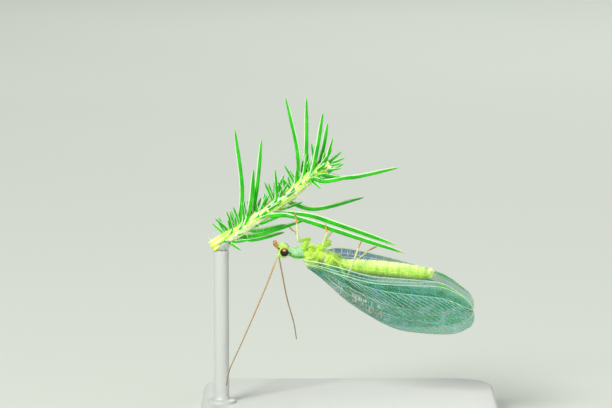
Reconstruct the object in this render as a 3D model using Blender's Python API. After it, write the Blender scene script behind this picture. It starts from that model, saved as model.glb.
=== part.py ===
"""Green lacewing hanging upside down from a needle-leaved stem, on a plain display stand.

Life size, in metres, +Z up. The insect is modelled in its own frame, given here in
millimetres as (forward, left, up), and an empty turns it back-down under the leaves.
The origin is on the underside of the stand's base, at its middle.
"""
import math

import bmesh
import bpy
from mathutils import Matrix, Vector

MM = 0.001
GAP = 0.25                      # clear gap kept between neighbouring pieces, mm
SMALL_GAP = 0.15                # the same at the eyes and feelers, whose roots are tiny

# Pose of the insect: its own frame is turned back-down, leant and tipped
POSE_ORIGIN = (-2.72, -3.0, 14.0)
LEAN = math.radians(14)
TIP = math.radians(5.5)

# Head
SKULL = {"centre": (2.62, 0.0, -0.14), "radii": (0.38, 0.56, 0.52)}
NECK_PLANE = 2.34
FACE_FROM, FACE_TO = (2.72, 0.0, -0.32), (3.2, 0.0, -0.58)
FACE_RADII = (0.42, 0.24)
SCAPE_FROM, SCAPE_TO = (2.75, 0.2, 0.0), (2.96, 0.28, 0.1)
SCAPE_RADIUS = 0.15
EYE_CENTRE = (2.6, 0.55, -0.22)
EYE_RADIUS = 0.33
MOUTH_FROM, MOUTH_TO = (3.3, 0.0, -0.62), (3.62, 0.0, -0.8)
MOUTH_RADII = (0.22, 0.13)
PALP_RADIUS = 0.09
PALPS = (((3.4, 0.1, -0.62), (3.52, 0.27, -0.64), (3.72, 0.24, -0.84)),
         ((3.38, 0.07, -0.7), (3.46, 0.15, -0.88), (3.62, 0.13, -1.02)))

# Feelers, as the route of the right and of the left one
FEELER_RADIUS = 0.25
FEELER_ROOT_RADIUS = 0.2
FEELER_TIP_RADIUS = 0.12
FEELER_RIGHT = ((3.17, -0.43, 0.32), (3.71, -1.1, 2.46), (4.58, -2.0, 5.06),
                (5.33, -2.8, 7.17), (6.0, -3.4, 9.07), (6.15, -3.8, 10.34))
FEELER_LEFT = ((3.12, 0.46, 0.38), (2.59, 1.35, 2.21), (1.92, 3.3, 5.4),
               (1.16, 5.2, 8.3), (0.78, 6.6, 10.37))
FEELER_STEPS = 16

# Trunk, as cross sections: forward, height of the middle, half width, half height
PROTHORAX = ((2.09, -0.12, 0.36, 0.34), (1.85, -0.14, 0.5, 0.44), (1.4, -0.16, 0.54, 0.47),
             (1.14, -0.18, 0.5, 0.46))
MESOTHORAX = ((0.88, -0.18, 0.5, 0.5), (0.55, -0.2, 0.62, 0.62), (0.1, -0.2, 0.66, 0.7),
              (-0.3, -0.18, 0.62, 0.68), (-0.55, -0.14, 0.52, 0.58))
METATHORAX = ((-0.8, 0.02, 0.5, 0.56), (-1.05, 0.16, 0.56, 0.62), (-1.4, 0.3, 0.54, 0.6),
              (-1.75, 0.42, 0.42, 0.46))
ABDOMEN = ((-2.02, 0.5, 0.38, 0.38), (-2.8, 0.54, 0.48, 0.48), (-4.5, 0.53, 0.6, 0.62),
           (-6.2, 0.54, 0.61, 0.63), (-7.7, 0.57, 0.56, 0.57), (-8.8, 0.6, 0.44, 0.44))
ABDOMEN_TIP = ((-9.15, 0.62, 0.37, 0.37), (-9.4, 0.62, 0.27, 0.28), (-9.5, 0.62, 0.14, 0.15))
ABDOMEN_RINGS = 8
BACK_LOBE = {"centre": (0.3, 0.2, 0.3), "radii": (0.36, 0.26, 0.24)}
HIP_LOBES = {"mesothorax": {"centre": (-0.1, 0.24, -0.68), "radii": (0.3, 0.24, 0.22)},
             "metathorax": {"centre": (-1.22, 0.2, -0.04), "radii": (0.24, 0.2, 0.22)}}
RING_GROOVE = 0.05              # how much thinner the body is between two of its rings
TRUNK_SIDES = 18

# Wings, right side, as the front edge and the hind edge of the forewing
FOREWING_FRONT = ((0.55, -0.95, 0.4), (-0.6, -1.5, 0.18), (-2.0, -2.12, 0.04), (-4.5, -2.32, 0.32),
                  (-7.8, -1.65, 0.58), (-10.4, -1.05, 0.95), (-12.5, -0.95, 2.2))
FOREWING_HIND = ((0.6, -0.78, 0.75), (-0.75, -0.3, 1.85), (-3.1, -0.24, 3.7), (-6.5, -0.26, 5.4),
                 (-9.0, -0.62, 5.55), (-11.6, -0.95, 5.2), (-12.85, -0.95, 4.5))
HIND_LEAD = 0.8                 # how far the cross lines run ahead along the hind edge
WING_CAMBER = 0.3
TIP_BULGE = 0.42
FOREWING_THICK = 0.5
HINDWING_THICK = 0.42
WING_EDGE_THICK = 0.2
WING_SPACING = 0.7
HINDWING_SPAN = (0.15, 0.93)
# Hindwing's front and hind edge as fractions of the forewing's chord: along the middle, and
# how much more at the root and at the tip
HINDWING_EDGES = {"front": (0.12, 0.42, 0.12), "hind": (0.64, 0.08, -0.06)}

# Main veins: the lengthwise ones as fractions of the chord, and how many cross veins join them
FOREWING_VEINS = (0.14, 0.32, 0.49, 0.66, 0.82)
FOREWING_CROSSES = 12
HINDWING_VEINS = (0.16, 0.38, 0.6, 0.8)
HINDWING_CROSSES = 9
VEIN_RISE = 0.1
VEIN_HALF_WIDTH = 0.13
FULL_CHORD = 5.0                # chord and length that the veins' widths are measured against
FULL_LENGTH = 14.0

# Legs of the right side: route of the joints and how thick each stretch is
LEG_RADII = (0.24, 0.26, 0.26, 0.24, 0.14)     # at the hip, first joint, knee, ankle and claw
SHARP_TURN = math.radians(50)
KNEE_ROOM = 1.15

# Perch: stem axis, leaves as (where on the stem, tip offset, bow), all in world millimetres
STEM = ((-11.05, -2.6, 14.63), (-8.0, -2.6, 16.61), (-6.1, -2.6, 17.95), (-4.48, -2.6, 19.19),
        (-3.2, -2.6, 20.3), (-1.6, -2.6, 21.4))
STEM_RADII = (0.52, 0.46)
NEEDLE_RADIUS = 0.25
NEEDLE_TIP = 0.12
NEEDLES = (
    (-9.1, (-0.1, 0.0, 8.2), 0.5), (-8.4, (0.7, -0.5, 4.6), 0.15), (-8.1, (1.0, 1.3, 6.6), 0.2),
    (-7.4, (0.6, -0.6, 2.1), 0.1), (-7.1, (1.8, 1.1, 3.1), 0.2), (-6.0, (0.0, -0.7, 3.0), 0.1),
    (-4.2, (-0.9, 0.0, 7.2), 0.4), (-3.7, (0.2, 0.9, 6.6), 0.1), (-3.2, (1.0, -0.6, 5.2), 0.1),
    (-2.7, (0.9, 0.9, 3.9), 0.1), (-2.3, (0.9, -0.6, 2.6), 0.1), (-5.5, (6.6, 2.7, -0.1), -0.75),
    (-3.3, (3.5, -0.9, 0.3), -0.3), (-2.8, (6.6, 0.6, 0.4), -0.5), (-9.9, (6.4, 0.8, 1.4), -0.4),
    (-8.9, (3.7, 0.5, 0.4), -0.3), (-9.5, (4.2, 0.9, 0.1), -0.55),
)

# The two leaves it grips: where on the stem and which way they start, then their route
GRIPPED = {
    "perch_leaf_lower": {"stem_x": -5.0, "start": (0.3, -0.66, -0.7),
                         "route": ((-4.1, -3.5, 17.35), (-1.85, -3.6, 16.57), (0.2, -3.6, 15.75),
                                   (2.22, -3.6, 14.98), (4.37, -3.6, 14.31))},
    "perch_leaf_upper": {"stem_x": -4.45, "start": (0.62, 0.0, -0.78),
                         "route": ((-3.3, -2.6, 17.62), (-1.22, -2.6, 16.85), (1.43, -2.6, 15.9),
                                   (3.68, -2.6, 14.95))},
}

# Stand
BASE_SIZE = (24.0, 16.0, 2.0)
BASE_ROUND = 3.0
BASE_BEVEL = 0.5
ROD_AT = (-10.3, -2.6)
ROD_RADIUS = 0.6

COLOURS = {
    "wax_green": (0.48, 0.72, 0.06, 1.0),
    "mint_green": (0.56, 0.8, 0.38, 1.0),
    "eye_bronze": (0.05, 0.09, 0.02, 1.0),
    "palp_orange": (0.62, 0.26, 0.06, 1.0),
    "feeler_tan": (0.5, 0.33, 0.1, 1.0),
    "leg_green": (0.55, 0.68, 0.3, 1.0),
    "wing_film": (0.3, 0.62, 0.45, 1.0),
    "stem_green": (0.62, 0.8, 0.14, 1.0),
    "leaf_green": (0.1, 0.55, 0.02, 1.0),
    "stand_grey": (0.72, 0.74, 0.7, 1.0),
}


def clear_scene():
    for item in list(bpy.data.objects):
        bpy.data.objects.remove(item, do_unlink=True)


def make_collection(name):
    group = bpy.data.collections.new(name)
    bpy.context.scene.collection.children.link(group)
    return group


def make_material(name, roughness=0.45, metallic=0.0):
    material = bpy.data.materials.new(name)
    material.use_nodes = True
    shader = material.node_tree.nodes["Principled BSDF"]
    shader.inputs["Base Color"].default_value = COLOURS[name]
    shader.inputs["Roughness"].default_value = roughness
    shader.inputs["Metallic"].default_value = metallic
    return material


def metres(point):
    return Vector(point) * MM


def hanging_matrix():
    """From the insect's own frame to the world: back down, leant to the viewer, tail low."""
    turn = Matrix.Rotation(TIP, 4, "Y") @ Matrix.Rotation(LEAN, 4, "X") @ Matrix.Rotation(math.pi, 4, "Y")
    return Matrix.Translation(metres(POSE_ORIGIN)) @ turn


def in_body_frame(world_point):
    """A world point in mm, as the insect's own (forward, left, up) in mm."""
    return tuple(hanging_matrix().inverted() @ metres(world_point) / MM)


def spline(points, steps):
    """Points at even distances along a smooth curve through the given points."""
    knots = [Vector(p) for p in points]
    knots = [2 * knots[0] - knots[1]] + knots + [2 * knots[-1] - knots[-2]]
    fine = []
    for k in range(1, len(knots) - 2):
        a, b, c, d = knots[k - 1:k + 3]
        for i in range(24):
            t = i / 24
            fine.append(0.5 * (2 * b + (c - a) * t + (2 * a - 5 * b + 4 * c - d) * t ** 2
                               + (3 * b - a - 3 * c + d) * t ** 3))
    fine.append(knots[-2])
    lengths = [0.0]
    for p, q in zip(fine, fine[1:]):
        lengths.append(lengths[-1] + (q - p).length)
    result = []
    k = 0
    for i in range(steps + 1):
        wanted = lengths[-1] * i / steps
        while k < len(fine) - 2 and lengths[k + 1] < wanted:
            k += 1
        part = (wanted - lengths[k]) / max(lengths[k + 1] - lengths[k], 1e-9)
        result.append(fine[k].lerp(fine[k + 1], min(part, 1.0)))
    return result


def new_object(name, mesh, group, material):
    item = bpy.data.objects.new(name, mesh)
    group.objects.link(item)
    mesh.materials.clear()
    mesh.materials.append(material)
    return item


def mesh_from(bm, name):
    bmesh.ops.recalc_face_normals(bm, faces=bm.faces[:])
    mesh = bpy.data.meshes.new(name)
    bm.to_mesh(mesh)
    bm.free()
    return mesh


def tube(name, route, radii, group, material, resolution=2):
    """A round wire through the route in mm, with a radius at each point, as a closed mesh."""
    curve = bpy.data.curves.new(name + "_route", "CURVE")
    curve.dimensions = "3D"
    curve.bevel_depth = MM
    curve.bevel_resolution = resolution
    curve.use_fill_caps = True
    line = curve.splines.new("POLY")
    line.points.add(len(route) - 1)
    for point, place, radius in zip(line.points, route, radii):
        point.co = (*metres(place), 1.0)
        point.radius = radius
    item = bpy.data.objects.new(name + "_route", curve)
    group.objects.link(item)
    bpy.context.view_layer.update()
    graph = bpy.context.evaluated_depsgraph_get()
    mesh = bpy.data.meshes.new_from_object(item.evaluated_get(graph))
    bm = bmesh.new()
    bm.from_mesh(mesh)
    bmesh.ops.remove_doubles(bm, verts=bm.verts[:], dist=1e-7)
    bm.to_mesh(mesh)
    bm.free()
    result = new_object(name, mesh, group, material)
    result.matrix_world = item.matrix_world.copy()
    bpy.data.objects.remove(item, do_unlink=True)
    return result


def tapered(count, start, middle, end, rise=0.1, fall=0.15):
    """Radii along a wire: from start up to middle, and down to end."""
    radii = []
    for i in range(count):
        f = i / (count - 1)
        up = min(f / rise, 1.0)
        down = min((1 - f) / fall, 1.0)
        radii.append(min(start + (middle - start) * up, end + (middle - end) * math.sqrt(down)))
    return radii


def loft(name, sections, group, material, sides=TRUNK_SIDES):
    """A closed body along the insect's length, through elliptical cross sections."""
    bm = bmesh.new()
    rings = []
    for forward, height, half_width, half_height in sections:
        ring = []
        for k in range(sides):
            angle = 2 * math.pi * k / sides
            place = (forward, half_width * math.cos(angle), height + half_height * math.sin(angle))
            ring.append(bm.verts.new(metres(place)))
        rings.append(ring)
    for first, second in zip(rings, rings[1:]):
        for k in range(sides):
            n = (k + 1) % sides
            bm.faces.new((first[k], first[n], second[n], second[k]))
    for ring in (rings[0], rings[-1]):
        bm.faces.new(ring)
    return new_object(name, mesh_from(bm, name), group, material)


def ball(name, centre, radii, group, material, segments=16, rings=10, axis="X"):
    bm = bmesh.new()
    turn = Matrix.Rotation(math.pi / 2, 4, "Y") if axis == "X" else Matrix.Identity(4)
    bmesh.ops.create_uvsphere(bm, u_segments=segments, v_segments=rings, radius=1.0, matrix=turn)
    place = Matrix.Translation(metres(centre)) @ Matrix.Diagonal((*metres(radii), 1.0))
    bmesh.ops.transform(bm, matrix=place, verts=bm.verts[:])
    return new_object(name, mesh_from(bm, name), group, material)


def block(name, low, high, group, material):
    bm = bmesh.new()
    bmesh.ops.create_cube(bm, size=1.0)
    low, high = metres(low), metres(high)
    size = Matrix.Diagonal((*(high - low), 1.0))
    bmesh.ops.transform(bm, matrix=Matrix.Translation((low + high) / 2) @ size, verts=bm.verts[:])
    return new_object(name, mesh_from(bm, name), group, material)


def keep_largest_shell(mesh):
    bm = bmesh.new()
    bm.from_mesh(mesh)
    bmesh.ops.remove_doubles(bm, verts=bm.verts[:], dist=1e-6)
    left = set(bm.verts)
    shells = []
    while left:
        seed = left.pop()
        shell, front = {seed}, [seed]
        while front:
            vert = front.pop()
            for edge in vert.link_edges:
                other = edge.other_vert(vert)
                if other not in shell:
                    shell.add(other)
                    left.discard(other)
                    front.append(other)
        shells.append(shell)
    largest = max(shells, key=len)
    bmesh.ops.delete(bm, geom=[v for v in bm.verts if v not in largest], context="VERTS")
    bmesh.ops.triangulate(bm, faces=bm.faces[:])
    bm.to_mesh(mesh)
    bm.free()


def combine(item, others, operation, solver="EXACT"):
    """Applies one Boolean of the other objects on the item, then removes them."""
    helpers = bpy.data.collections.new(item.name + "_helpers")
    bpy.context.scene.collection.children.link(helpers)
    for other in others:
        for owner in list(other.users_collection):
            owner.objects.unlink(other)
        helpers.objects.link(other)
        other.hide_render = True
        other.display_type = "WIRE"
    step = item.modifiers.new(operation.lower(), "BOOLEAN")
    step.operation = operation
    step.solver = solver
    step.operand_type = "COLLECTION"
    step.collection = helpers
    bpy.context.view_layer.update()
    graph = bpy.context.evaluated_depsgraph_get()
    mesh = bpy.data.meshes.new_from_object(item.evaluated_get(graph))
    item.modifiers.clear()
    material = item.data.materials[0]
    item.data = mesh
    keep_largest_shell(mesh)
    mesh.materials.clear()
    mesh.materials.append(material)
    for other in others:
        bpy.data.objects.remove(other, do_unlink=True)
    bpy.data.collections.remove(helpers)
    return item


def smooth_shading(item, angle=40):
    item.data.shade_smooth()
    item.data.set_sharp_from_angle(angle=math.radians(angle))


def mirror_point(point, side):
    return (point[0], point[1] * side, point[2])


def build_head(group, materials):
    head = ball("head", SKULL["centre"], SKULL["radii"], group, materials["wax_green"], 18, 12)
    face_route = spline((FACE_FROM, FACE_TO), 3)
    face = tube("face", face_route, tapered(4, FACE_RADII[0], FACE_RADII[0], FACE_RADII[1], fall=1.0),
                group, materials["wax_green"])
    bases = [tube("antenna_base", [Vector(mirror_point(p, side)) for p in (SCAPE_FROM, SCAPE_TO)],
                  [SCAPE_RADIUS] * 2, group, materials["wax_green"]) for side in (1, -1)]
    combine(head, [face] + bases, "UNION")
    neck = block("neck_cut", (NECK_PLANE - 1.0, -1, -1), (NECK_PLANE, 1, 1), group, materials["wax_green"])
    sockets = [ball("socket", mirror_point(EYE_CENTRE, side), (EYE_RADIUS + SMALL_GAP,) * 3, group,
                    materials["wax_green"]) for side in (1, -1)]
    combine(head, [neck] + sockets, "DIFFERENCE")
    for name, side in (("eye_left", 1), ("eye_right", -1)):
        ball(name, mirror_point(EYE_CENTRE, side), (EYE_RADIUS,) * 3, group, materials["eye_bronze"],
             14, 9)


def build_mouthparts(group, materials):
    orange = materials["palp_orange"]
    mouth = tube("mouthparts", spline((MOUTH_FROM, MOUTH_TO), 2),
                 (MOUTH_RADII[0], sum(MOUTH_RADII) / 2, MOUTH_RADII[1]), group, orange)
    palps = []
    for side in (1, -1):
        for palp in PALPS:
            route = spline([mirror_point(p, side) for p in palp], 3)
            palps.append(tube("palp", route, tapered(4, PALP_RADIUS, PALP_RADIUS, 0.06), group,
                              orange, 1))
    combine(mouth, palps, "UNION")


def build_feelers(group, materials):
    for name, route in (("antenna_right", FEELER_RIGHT), ("antenna_left", FEELER_LEFT)):
        points = spline(route, FEELER_STEPS)
        radii = tapered(len(points), FEELER_ROOT_RADIUS, FEELER_RADIUS, FEELER_TIP_RADIUS)
        tube(name, points, radii, group, materials["feeler_tan"], 3)


def blended(sections, f):
    """Cross section at a fraction of the way through a list of sections, on a smooth curve."""
    last = len(sections) - 1
    k = min(int(f * last), last - 1)
    t = f * last - k
    around = [sections[min(max(k + n, 0), last)] for n in (-1, 0, 1, 2)]
    return tuple(0.5 * (2 * b + (c - a) * t + (2 * a - 5 * b + 4 * c - d) * t ** 2
                        + (3 * b - a - 3 * c + d) * t ** 3) for a, b, c, d in zip(*around))


def trunk_piece(sections, steps):
    return [blended(sections, i / steps) for i in range(steps + 1)]


def abdomen_sections():
    """The abdomen's rings, each a little fuller than the fold between it and the next."""
    sections = []
    for ring in range(ABDOMEN_RINGS):
        for part, full in ((0.0, 1 - RING_GROOVE), (0.16, 1.0), (0.84, 1.0)):
            forward, height, wide, high = blended(ABDOMEN, (ring + part) / ABDOMEN_RINGS)
            sections.append((forward, height, wide * full, high * full))
    sections.append(blended(ABDOMEN, 1.0))
    return sections + list(ABDOMEN_TIP)


def lobes(sizes, group, material):
    """A pair of soft swellings, one each side."""
    return [ball("lobe", mirror_point(sizes["centre"], side), sizes["radii"], group, material, 12, 8)
            for side in (1, -1)]


def build_trunk(group, materials):
    loft("prothorax", trunk_piece(PROTHORAX, 6), group, materials["mint_green"])
    green = materials["wax_green"]
    middle = loft("mesothorax", trunk_piece(MESOTHORAX, 9), group, green)
    rear = loft("metathorax", trunk_piece(METATHORAX, 7), group, green)
    combine(middle, lobes(BACK_LOBE, group, green) + lobes(HIP_LOBES["mesothorax"], group, green), "UNION")
    combine(rear, lobes(HIP_LOBES["metathorax"], group, green), "UNION")
    loft("abdomen", abdomen_sections(), group, materials["wax_green"])


def sampled(route, f):
    k = min(int(f * (len(route) - 1)), len(route) - 2)
    return route[k].lerp(route[k + 1], f * (len(route) - 1) - k)


def forewing_surface(side):
    """Middle surface of a forewing: u runs from root to tip, v from front to hind edge."""
    flip = (lambda p: (p[0], -p[1], p[2])) if side > 0 else (lambda p: p)
    front = spline([flip(p) for p in FOREWING_FRONT], 120)
    hind = spline([flip(p) for p in FOREWING_HIND], 120)

    def surface(u, v):
        start, end = sampled(front, u), sampled(hind, u ** HIND_LEAD)
        bow = 4 * v * (1 - v)
        room = min((end - start).length / 5.0, 1.0)
        place = start.lerp(end, v)
        place.x -= bow * TIP_BULGE * u ** 3
        place.y += side * bow * WING_CAMBER * room
        return place
    return surface


def hindwing_surface(side):
    """Middle surface of a hindwing: a narrower patch under the forewing, towards the body."""
    fore = forewing_surface(side)

    def surface(u, v):
        along = HINDWING_SPAN[0] + (HINDWING_SPAN[1] - HINDWING_SPAN[0]) * u
        lines = [middle + root * max(0.0, 1 - u / reach) + tip * max(0.0, u - 0.8) / 0.2
                 for (middle, root, tip), reach in zip(HINDWING_EDGES.values(), (0.42, 0.3))]
        across = lines[0] + (lines[1] - lines[0]) * v
        along += 0.12 * v * (1 - v) * u ** 3
        return fore(along, across) - outward(fore, along, across, side) * WING_SPACING
    return surface


def outward(surface, u, v, side):
    """Unit normal of a wing surface, pointing away from the body."""
    step = 1e-3
    across = surface(u, min(v + step, 1.0)) - surface(u, max(v - step, 0.0))
    along = surface(min(u + step, 1.0), v) - surface(max(u - step, 0.0), v)
    normal = along.cross(across).normalized()
    return normal if normal.y * side > 0 else -normal


def vein_lines(crests, half_width, first_is_crest):
    """Lines of a wing's grid: foot, crest and foot of each vein, as (fraction, crest, band)."""
    lines = [(0.0, first_is_crest, 0)]
    if first_is_crest:
        lines.append((half_width, False, 0))
    for band, crest in enumerate(crests):
        lines.append((crest - half_width, False, band))
        lines.append((crest, True, band))
        lines.append((crest + half_width, False, band + 1))
    lines.append((1.0, False, len(crests)))
    return lines


def vein_height(column, row, station):
    """How much of the full rise a grid point has: 1 on a vein, 0 on the film."""
    if row[1]:
        return 1.0
    joins = row[2] == 0 or (station + row[2]) % 2 == 0
    return 1.0 if column[1] and joins else 0.0


def wing(name, surface, side, thick, veins, crosses, group, material):
    """A closed wing: one grid of triangles drawn out to an equal grid on the other face.

    The veins are ridges in the outer face: their grid lines are lifted off the film.
    """
    stations = [(k + 0.7) / (crosses + 0.5) for k in range(crosses)]
    columns = vein_lines(stations, VEIN_HALF_WIDTH / FULL_LENGTH, False)
    rows = vein_lines(veins, VEIN_HALF_WIDTH / FULL_CHORD, True)
    last_column, last_row = len(columns) - 1, len(rows) - 1
    bm = bmesh.new()
    bmesh.ops.create_grid(bm, x_segments=last_column, y_segments=last_row, size=0.5)
    column_of = bm.verts.layers.int.new("column")
    row_of = bm.verts.layers.int.new("row")
    for vert in bm.verts:
        vert[column_of] = round((vert.co.x + 0.5) * last_column)
        vert[row_of] = round((vert.co.y + 0.5) * last_row)
    bmesh.ops.triangulate(bm, faces=bm.faces[:], quad_method="FIXED")
    drawn = bmesh.ops.extrude_face_region(bm, geom=bm.faces[:], use_keep_orig=True)
    outer = {item for item in drawn["geom"] if isinstance(item, bmesh.types.BMVert)}
    for vert in bm.verts:
        column, row = columns[vert[column_of]], rows[vert[row_of]]
        u, v = column[0], row[0]
        edge = min((1 - v) / 0.25, (1 - u) / 0.1, 1.0)
        half = 0.5 * (WING_EDGE_THICK + (thick - WING_EDGE_THICK) * edge)
        chord = (surface(u, 1.0) - surface(u, 0.0)).length
        fade = min(1.0, chord / 3.0, (1 - u) / 0.06, 1.0 if v < 0.5 else (1 - v) / 0.1)
        rise = VEIN_RISE * vein_height(column, row, column[2]) * fade
        away = outward(surface, u, v, side)
        place = surface(u, v)
        vert.co = metres(place + away * (half + rise) if vert in outer else place - away * half)
    return new_object(name, mesh_from(bm, name), group, material)


def build_wings(group, materials):
    film = materials["wing_film"]
    for word, side in (("left", 1), ("right", -1)):
        wing("forewing_" + word, forewing_surface(side), side, FOREWING_THICK, FOREWING_VEINS,
             FOREWING_CROSSES, group, film)
        wing("hindwing_" + word, hindwing_surface(side), side, HINDWING_THICK, HINDWING_VEINS,
             HINDWING_CROSSES, group, film)


def leg_routes():
    """Joints of each leg, in the insect's frame: hip, first joint, knee, ankle, claw."""
    return {
        "leg_front_right": ((1.0, -0.4, -0.95), (0.63, -0.75, -1.72), (1.59, -1.9, -2.0),
                            (1.77, -0.9, -2.85), in_body_frame((-4.2, -3.8, 16.75))),
        "leg_front_left": ((1.0, 0.42, -0.98), (0.7, 0.85, -1.3), (1.39, 1.9, -0.45),
                           (1.9, 1.1, -1.45), in_body_frame((-4.84, -2.9, 15.95))),
        "leg_mid_right": ((-0.4, -0.5, -1.05), (-1.0, -0.85, -1.5), (-0.39, -2.0, -1.75),
                          (-0.6, -0.8, -2.3), in_body_frame((-1.95, -3.85, 16.02))),
        "leg_mid_left": ((-0.4, 0.5, -1.05), (-0.95, 1.0, -1.15), (-0.5, 1.95, -0.85),
                         (-1.15, 0.95, -1.8), in_body_frame((-1.0, -3.2, 15.68))),
        "leg_hind_right": ((-1.55, -0.6, -0.45), (-2.1, -0.98, 0.3), (-2.6, -0.92, 0.76),
                           (-3.25, -1.0, -1.1), in_body_frame((0.85, -3.75, 14.93))),
        "leg_hind_left": ((-1.55, 0.6, -0.45), (-2.1, 0.98, 0.3), (-2.6, 0.92, 0.76),
                          (-4.1, 1.0, -0.6), in_body_frame((2.0, -3.35, 14.52))),
    }


def with_knees(joints, radii):
    """The leg's route with each sharp bend made a blunt knee of two corners, and its radii."""
    route, thick = [Vector(joints[0])], [radii[0]]
    for before, joint, after, radius in zip(joints, joints[1:], joints[2:], radii[1:]):
        corner = Vector(joint)
        back, on = (Vector(before) - corner).normalized(), (Vector(after) - corner).normalized()
        turn = math.pi - back.angle(on)
        half = radius * math.tan(turn / 4) * KNEE_ROOM if turn > SHARP_TURN else 0.0
        across = (on - back).normalized() * half
        route += [corner - across, corner + across] if half else [corner]
        thick += [radius, radius] if half else [radius]
    return route + [Vector(joints[-1])], thick + [radii[-1]]


def build_legs(group, materials):
    for name, joints in leg_routes().items():
        route, thick = with_knees(joints, LEG_RADII)
        tube(name, route, thick, group, materials["leg_green"], 3)


def on_stem(x, route):
    """Point of the stem's axis at a world X in mm."""
    for a, b in zip(route, route[1:]):
        if a.x <= x <= b.x:
            return a.lerp(b, (x - a.x) / (b.x - a.x))
    return route[0] if x < route[0].x else route[-1]


def needle(number, root, reach, bow, group, material):
    """A leaf like a blunt needle: it leaves the stem and bends a little on its way."""
    tip = root + Vector(reach)
    sideways = Vector((bow, 0, 0)) if abs(reach[2]) > abs(reach[0]) else Vector((0, 0, bow))
    middle = root.lerp(tip, 0.4) + sideways
    points = spline((root, middle, tip), 6)
    radii = tapered(len(points), NEEDLE_RADIUS, NEEDLE_RADIUS, NEEDLE_TIP, fall=0.3)
    return tube(f"needle_{number}", points, radii, group, material, 1)


def build_perch(group, materials):
    axis = spline(STEM, 14)
    radii = [STEM_RADII[0] + (STEM_RADII[1] - STEM_RADII[0]) * i / 14 for i in range(15)]
    stem = tube("perch_stem", axis, radii, group, materials["stem_green"], 3)
    needles = [needle(k, on_stem(x, axis), reach, bow, group, materials["stem_green"])
               for k, (x, reach, bow) in enumerate(NEEDLES)]
    combine(stem, needles, "UNION")
    for name, leaf in GRIPPED.items():
        away = Vector(leaf["start"]).normalized() * (STEM_RADII[0] + GAP)
        points = spline((on_stem(leaf["stem_x"], axis) + away, *leaf["route"]), 11)
        tube(name, points, tapered(12, NEEDLE_RADIUS, NEEDLE_RADIUS, NEEDLE_TIP, fall=0.2), group,
             materials["leaf_green"])


def build_stand(group, materials):
    grey = materials["stand_grey"]
    width, depth, height = BASE_SIZE
    bm = bmesh.new()
    bmesh.ops.create_cube(bm, size=1.0)
    bmesh.ops.transform(bm, matrix=Matrix.Diagonal((*metres(BASE_SIZE), 1.0)), verts=bm.verts[:])
    bmesh.ops.translate(bm, vec=metres((0, 0, height / 2)), verts=bm.verts[:])
    upright = [e for e in bm.edges if abs(e.verts[0].co.z - e.verts[1].co.z) > MM]
    bmesh.ops.bevel(bm, geom=upright, offset=BASE_ROUND * MM, segments=6, profile=0.5,
                    affect="EDGES", material=-1)
    rim = [e for e in bm.edges if min(v.co.z for v in e.verts) > (height - 0.1) * MM]
    bmesh.ops.bevel(bm, geom=rim, offset=BASE_BEVEL * MM, segments=2, profile=0.5,
                    affect="EDGES", material=-1)
    new_object("stand_base", mesh_from(bm, "stand_base"), group, grey)
    top = on_stem(ROD_AT[0], spline(STEM, 14)).z - STEM_RADII[0] / 2
    foot = Vector((*ROD_AT, height + GAP))
    rod = tube("stand_rod", [foot, Vector((*ROD_AT, top))], [ROD_RADIUS] * 2, group, grey, 4)
    cradle_axis = spline(STEM, 14)
    cradle_axis.insert(0, 2 * cradle_axis[0] - cradle_axis[1])
    cradle = tube("cradle_cut", cradle_axis, [STEM_RADII[0] + GAP] * len(cradle_axis), group, grey, 4)
    combine(rod, [cradle], "DIFFERENCE")


def main():
    clear_scene()
    group = make_collection("green_lacewing")
    materials = {name: make_material(name) for name in COLOURS}
    build_head(group, materials)
    build_mouthparts(group, materials)
    build_feelers(group, materials)
    build_trunk(group, materials)
    build_wings(group, materials)
    build_legs(group, materials)
    pose = bpy.data.objects.new("hanging_pose", None)
    group.objects.link(pose)
    pose.matrix_world = hanging_matrix()
    for item in list(group.objects):
        if item is not pose:
            item.parent = pose
    build_perch(group, materials)
    build_stand(group, materials)
    for item in group.objects:
        if item.type == "MESH":
            smooth_shading(item, 12 if "wing" in item.name else 40)


main()
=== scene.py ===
"""Looks of a life-size green lacewing that hangs back-down under a needle-leaved stem.

The insect is shaped in its own frame, in millimetres as (forward, left, up), and turned into
its hanging pose when a piece is finished. Perch and stand are shaped in world millimetres.
"""
import math
import random

import bmesh
import bpy
from mathutils import Euler, Matrix, Vector, noise


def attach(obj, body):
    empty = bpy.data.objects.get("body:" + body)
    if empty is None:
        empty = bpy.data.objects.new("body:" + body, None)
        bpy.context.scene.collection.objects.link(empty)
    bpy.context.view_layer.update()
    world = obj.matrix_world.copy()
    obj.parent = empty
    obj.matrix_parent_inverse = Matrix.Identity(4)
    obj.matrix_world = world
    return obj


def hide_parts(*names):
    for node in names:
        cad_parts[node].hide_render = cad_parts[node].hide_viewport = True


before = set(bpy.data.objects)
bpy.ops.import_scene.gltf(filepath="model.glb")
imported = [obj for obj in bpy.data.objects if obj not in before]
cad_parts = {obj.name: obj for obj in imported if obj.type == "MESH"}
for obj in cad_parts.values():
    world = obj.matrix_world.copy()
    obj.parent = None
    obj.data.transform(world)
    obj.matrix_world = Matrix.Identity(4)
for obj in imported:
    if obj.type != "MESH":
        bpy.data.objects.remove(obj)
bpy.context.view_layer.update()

MM = 0.001
PICTURE = (612, 408)

# Pose of the insect, as in the solids
POSE_ORIGIN = Vector((-2.72, -3.0, 14.0))
LEAN = math.radians(14)
TIP = math.radians(5.5)
TURN = Matrix.Rotation(TIP, 4, "Y") @ Matrix.Rotation(LEAN, 4, "X") @ Matrix.Rotation(math.pi, 4, "Y")
POSE = Matrix.Translation(POSE_ORIGIN) @ TURN
TO_METRES = Matrix.Scale(MM, 4)
WORLD = Matrix.Identity(4)
SIDES = {"right": -1, "left": 1}


def in_body_frame(world_point):
    return POSE.inverted() @ Vector(world_point)


# Curves and cross sections

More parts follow.
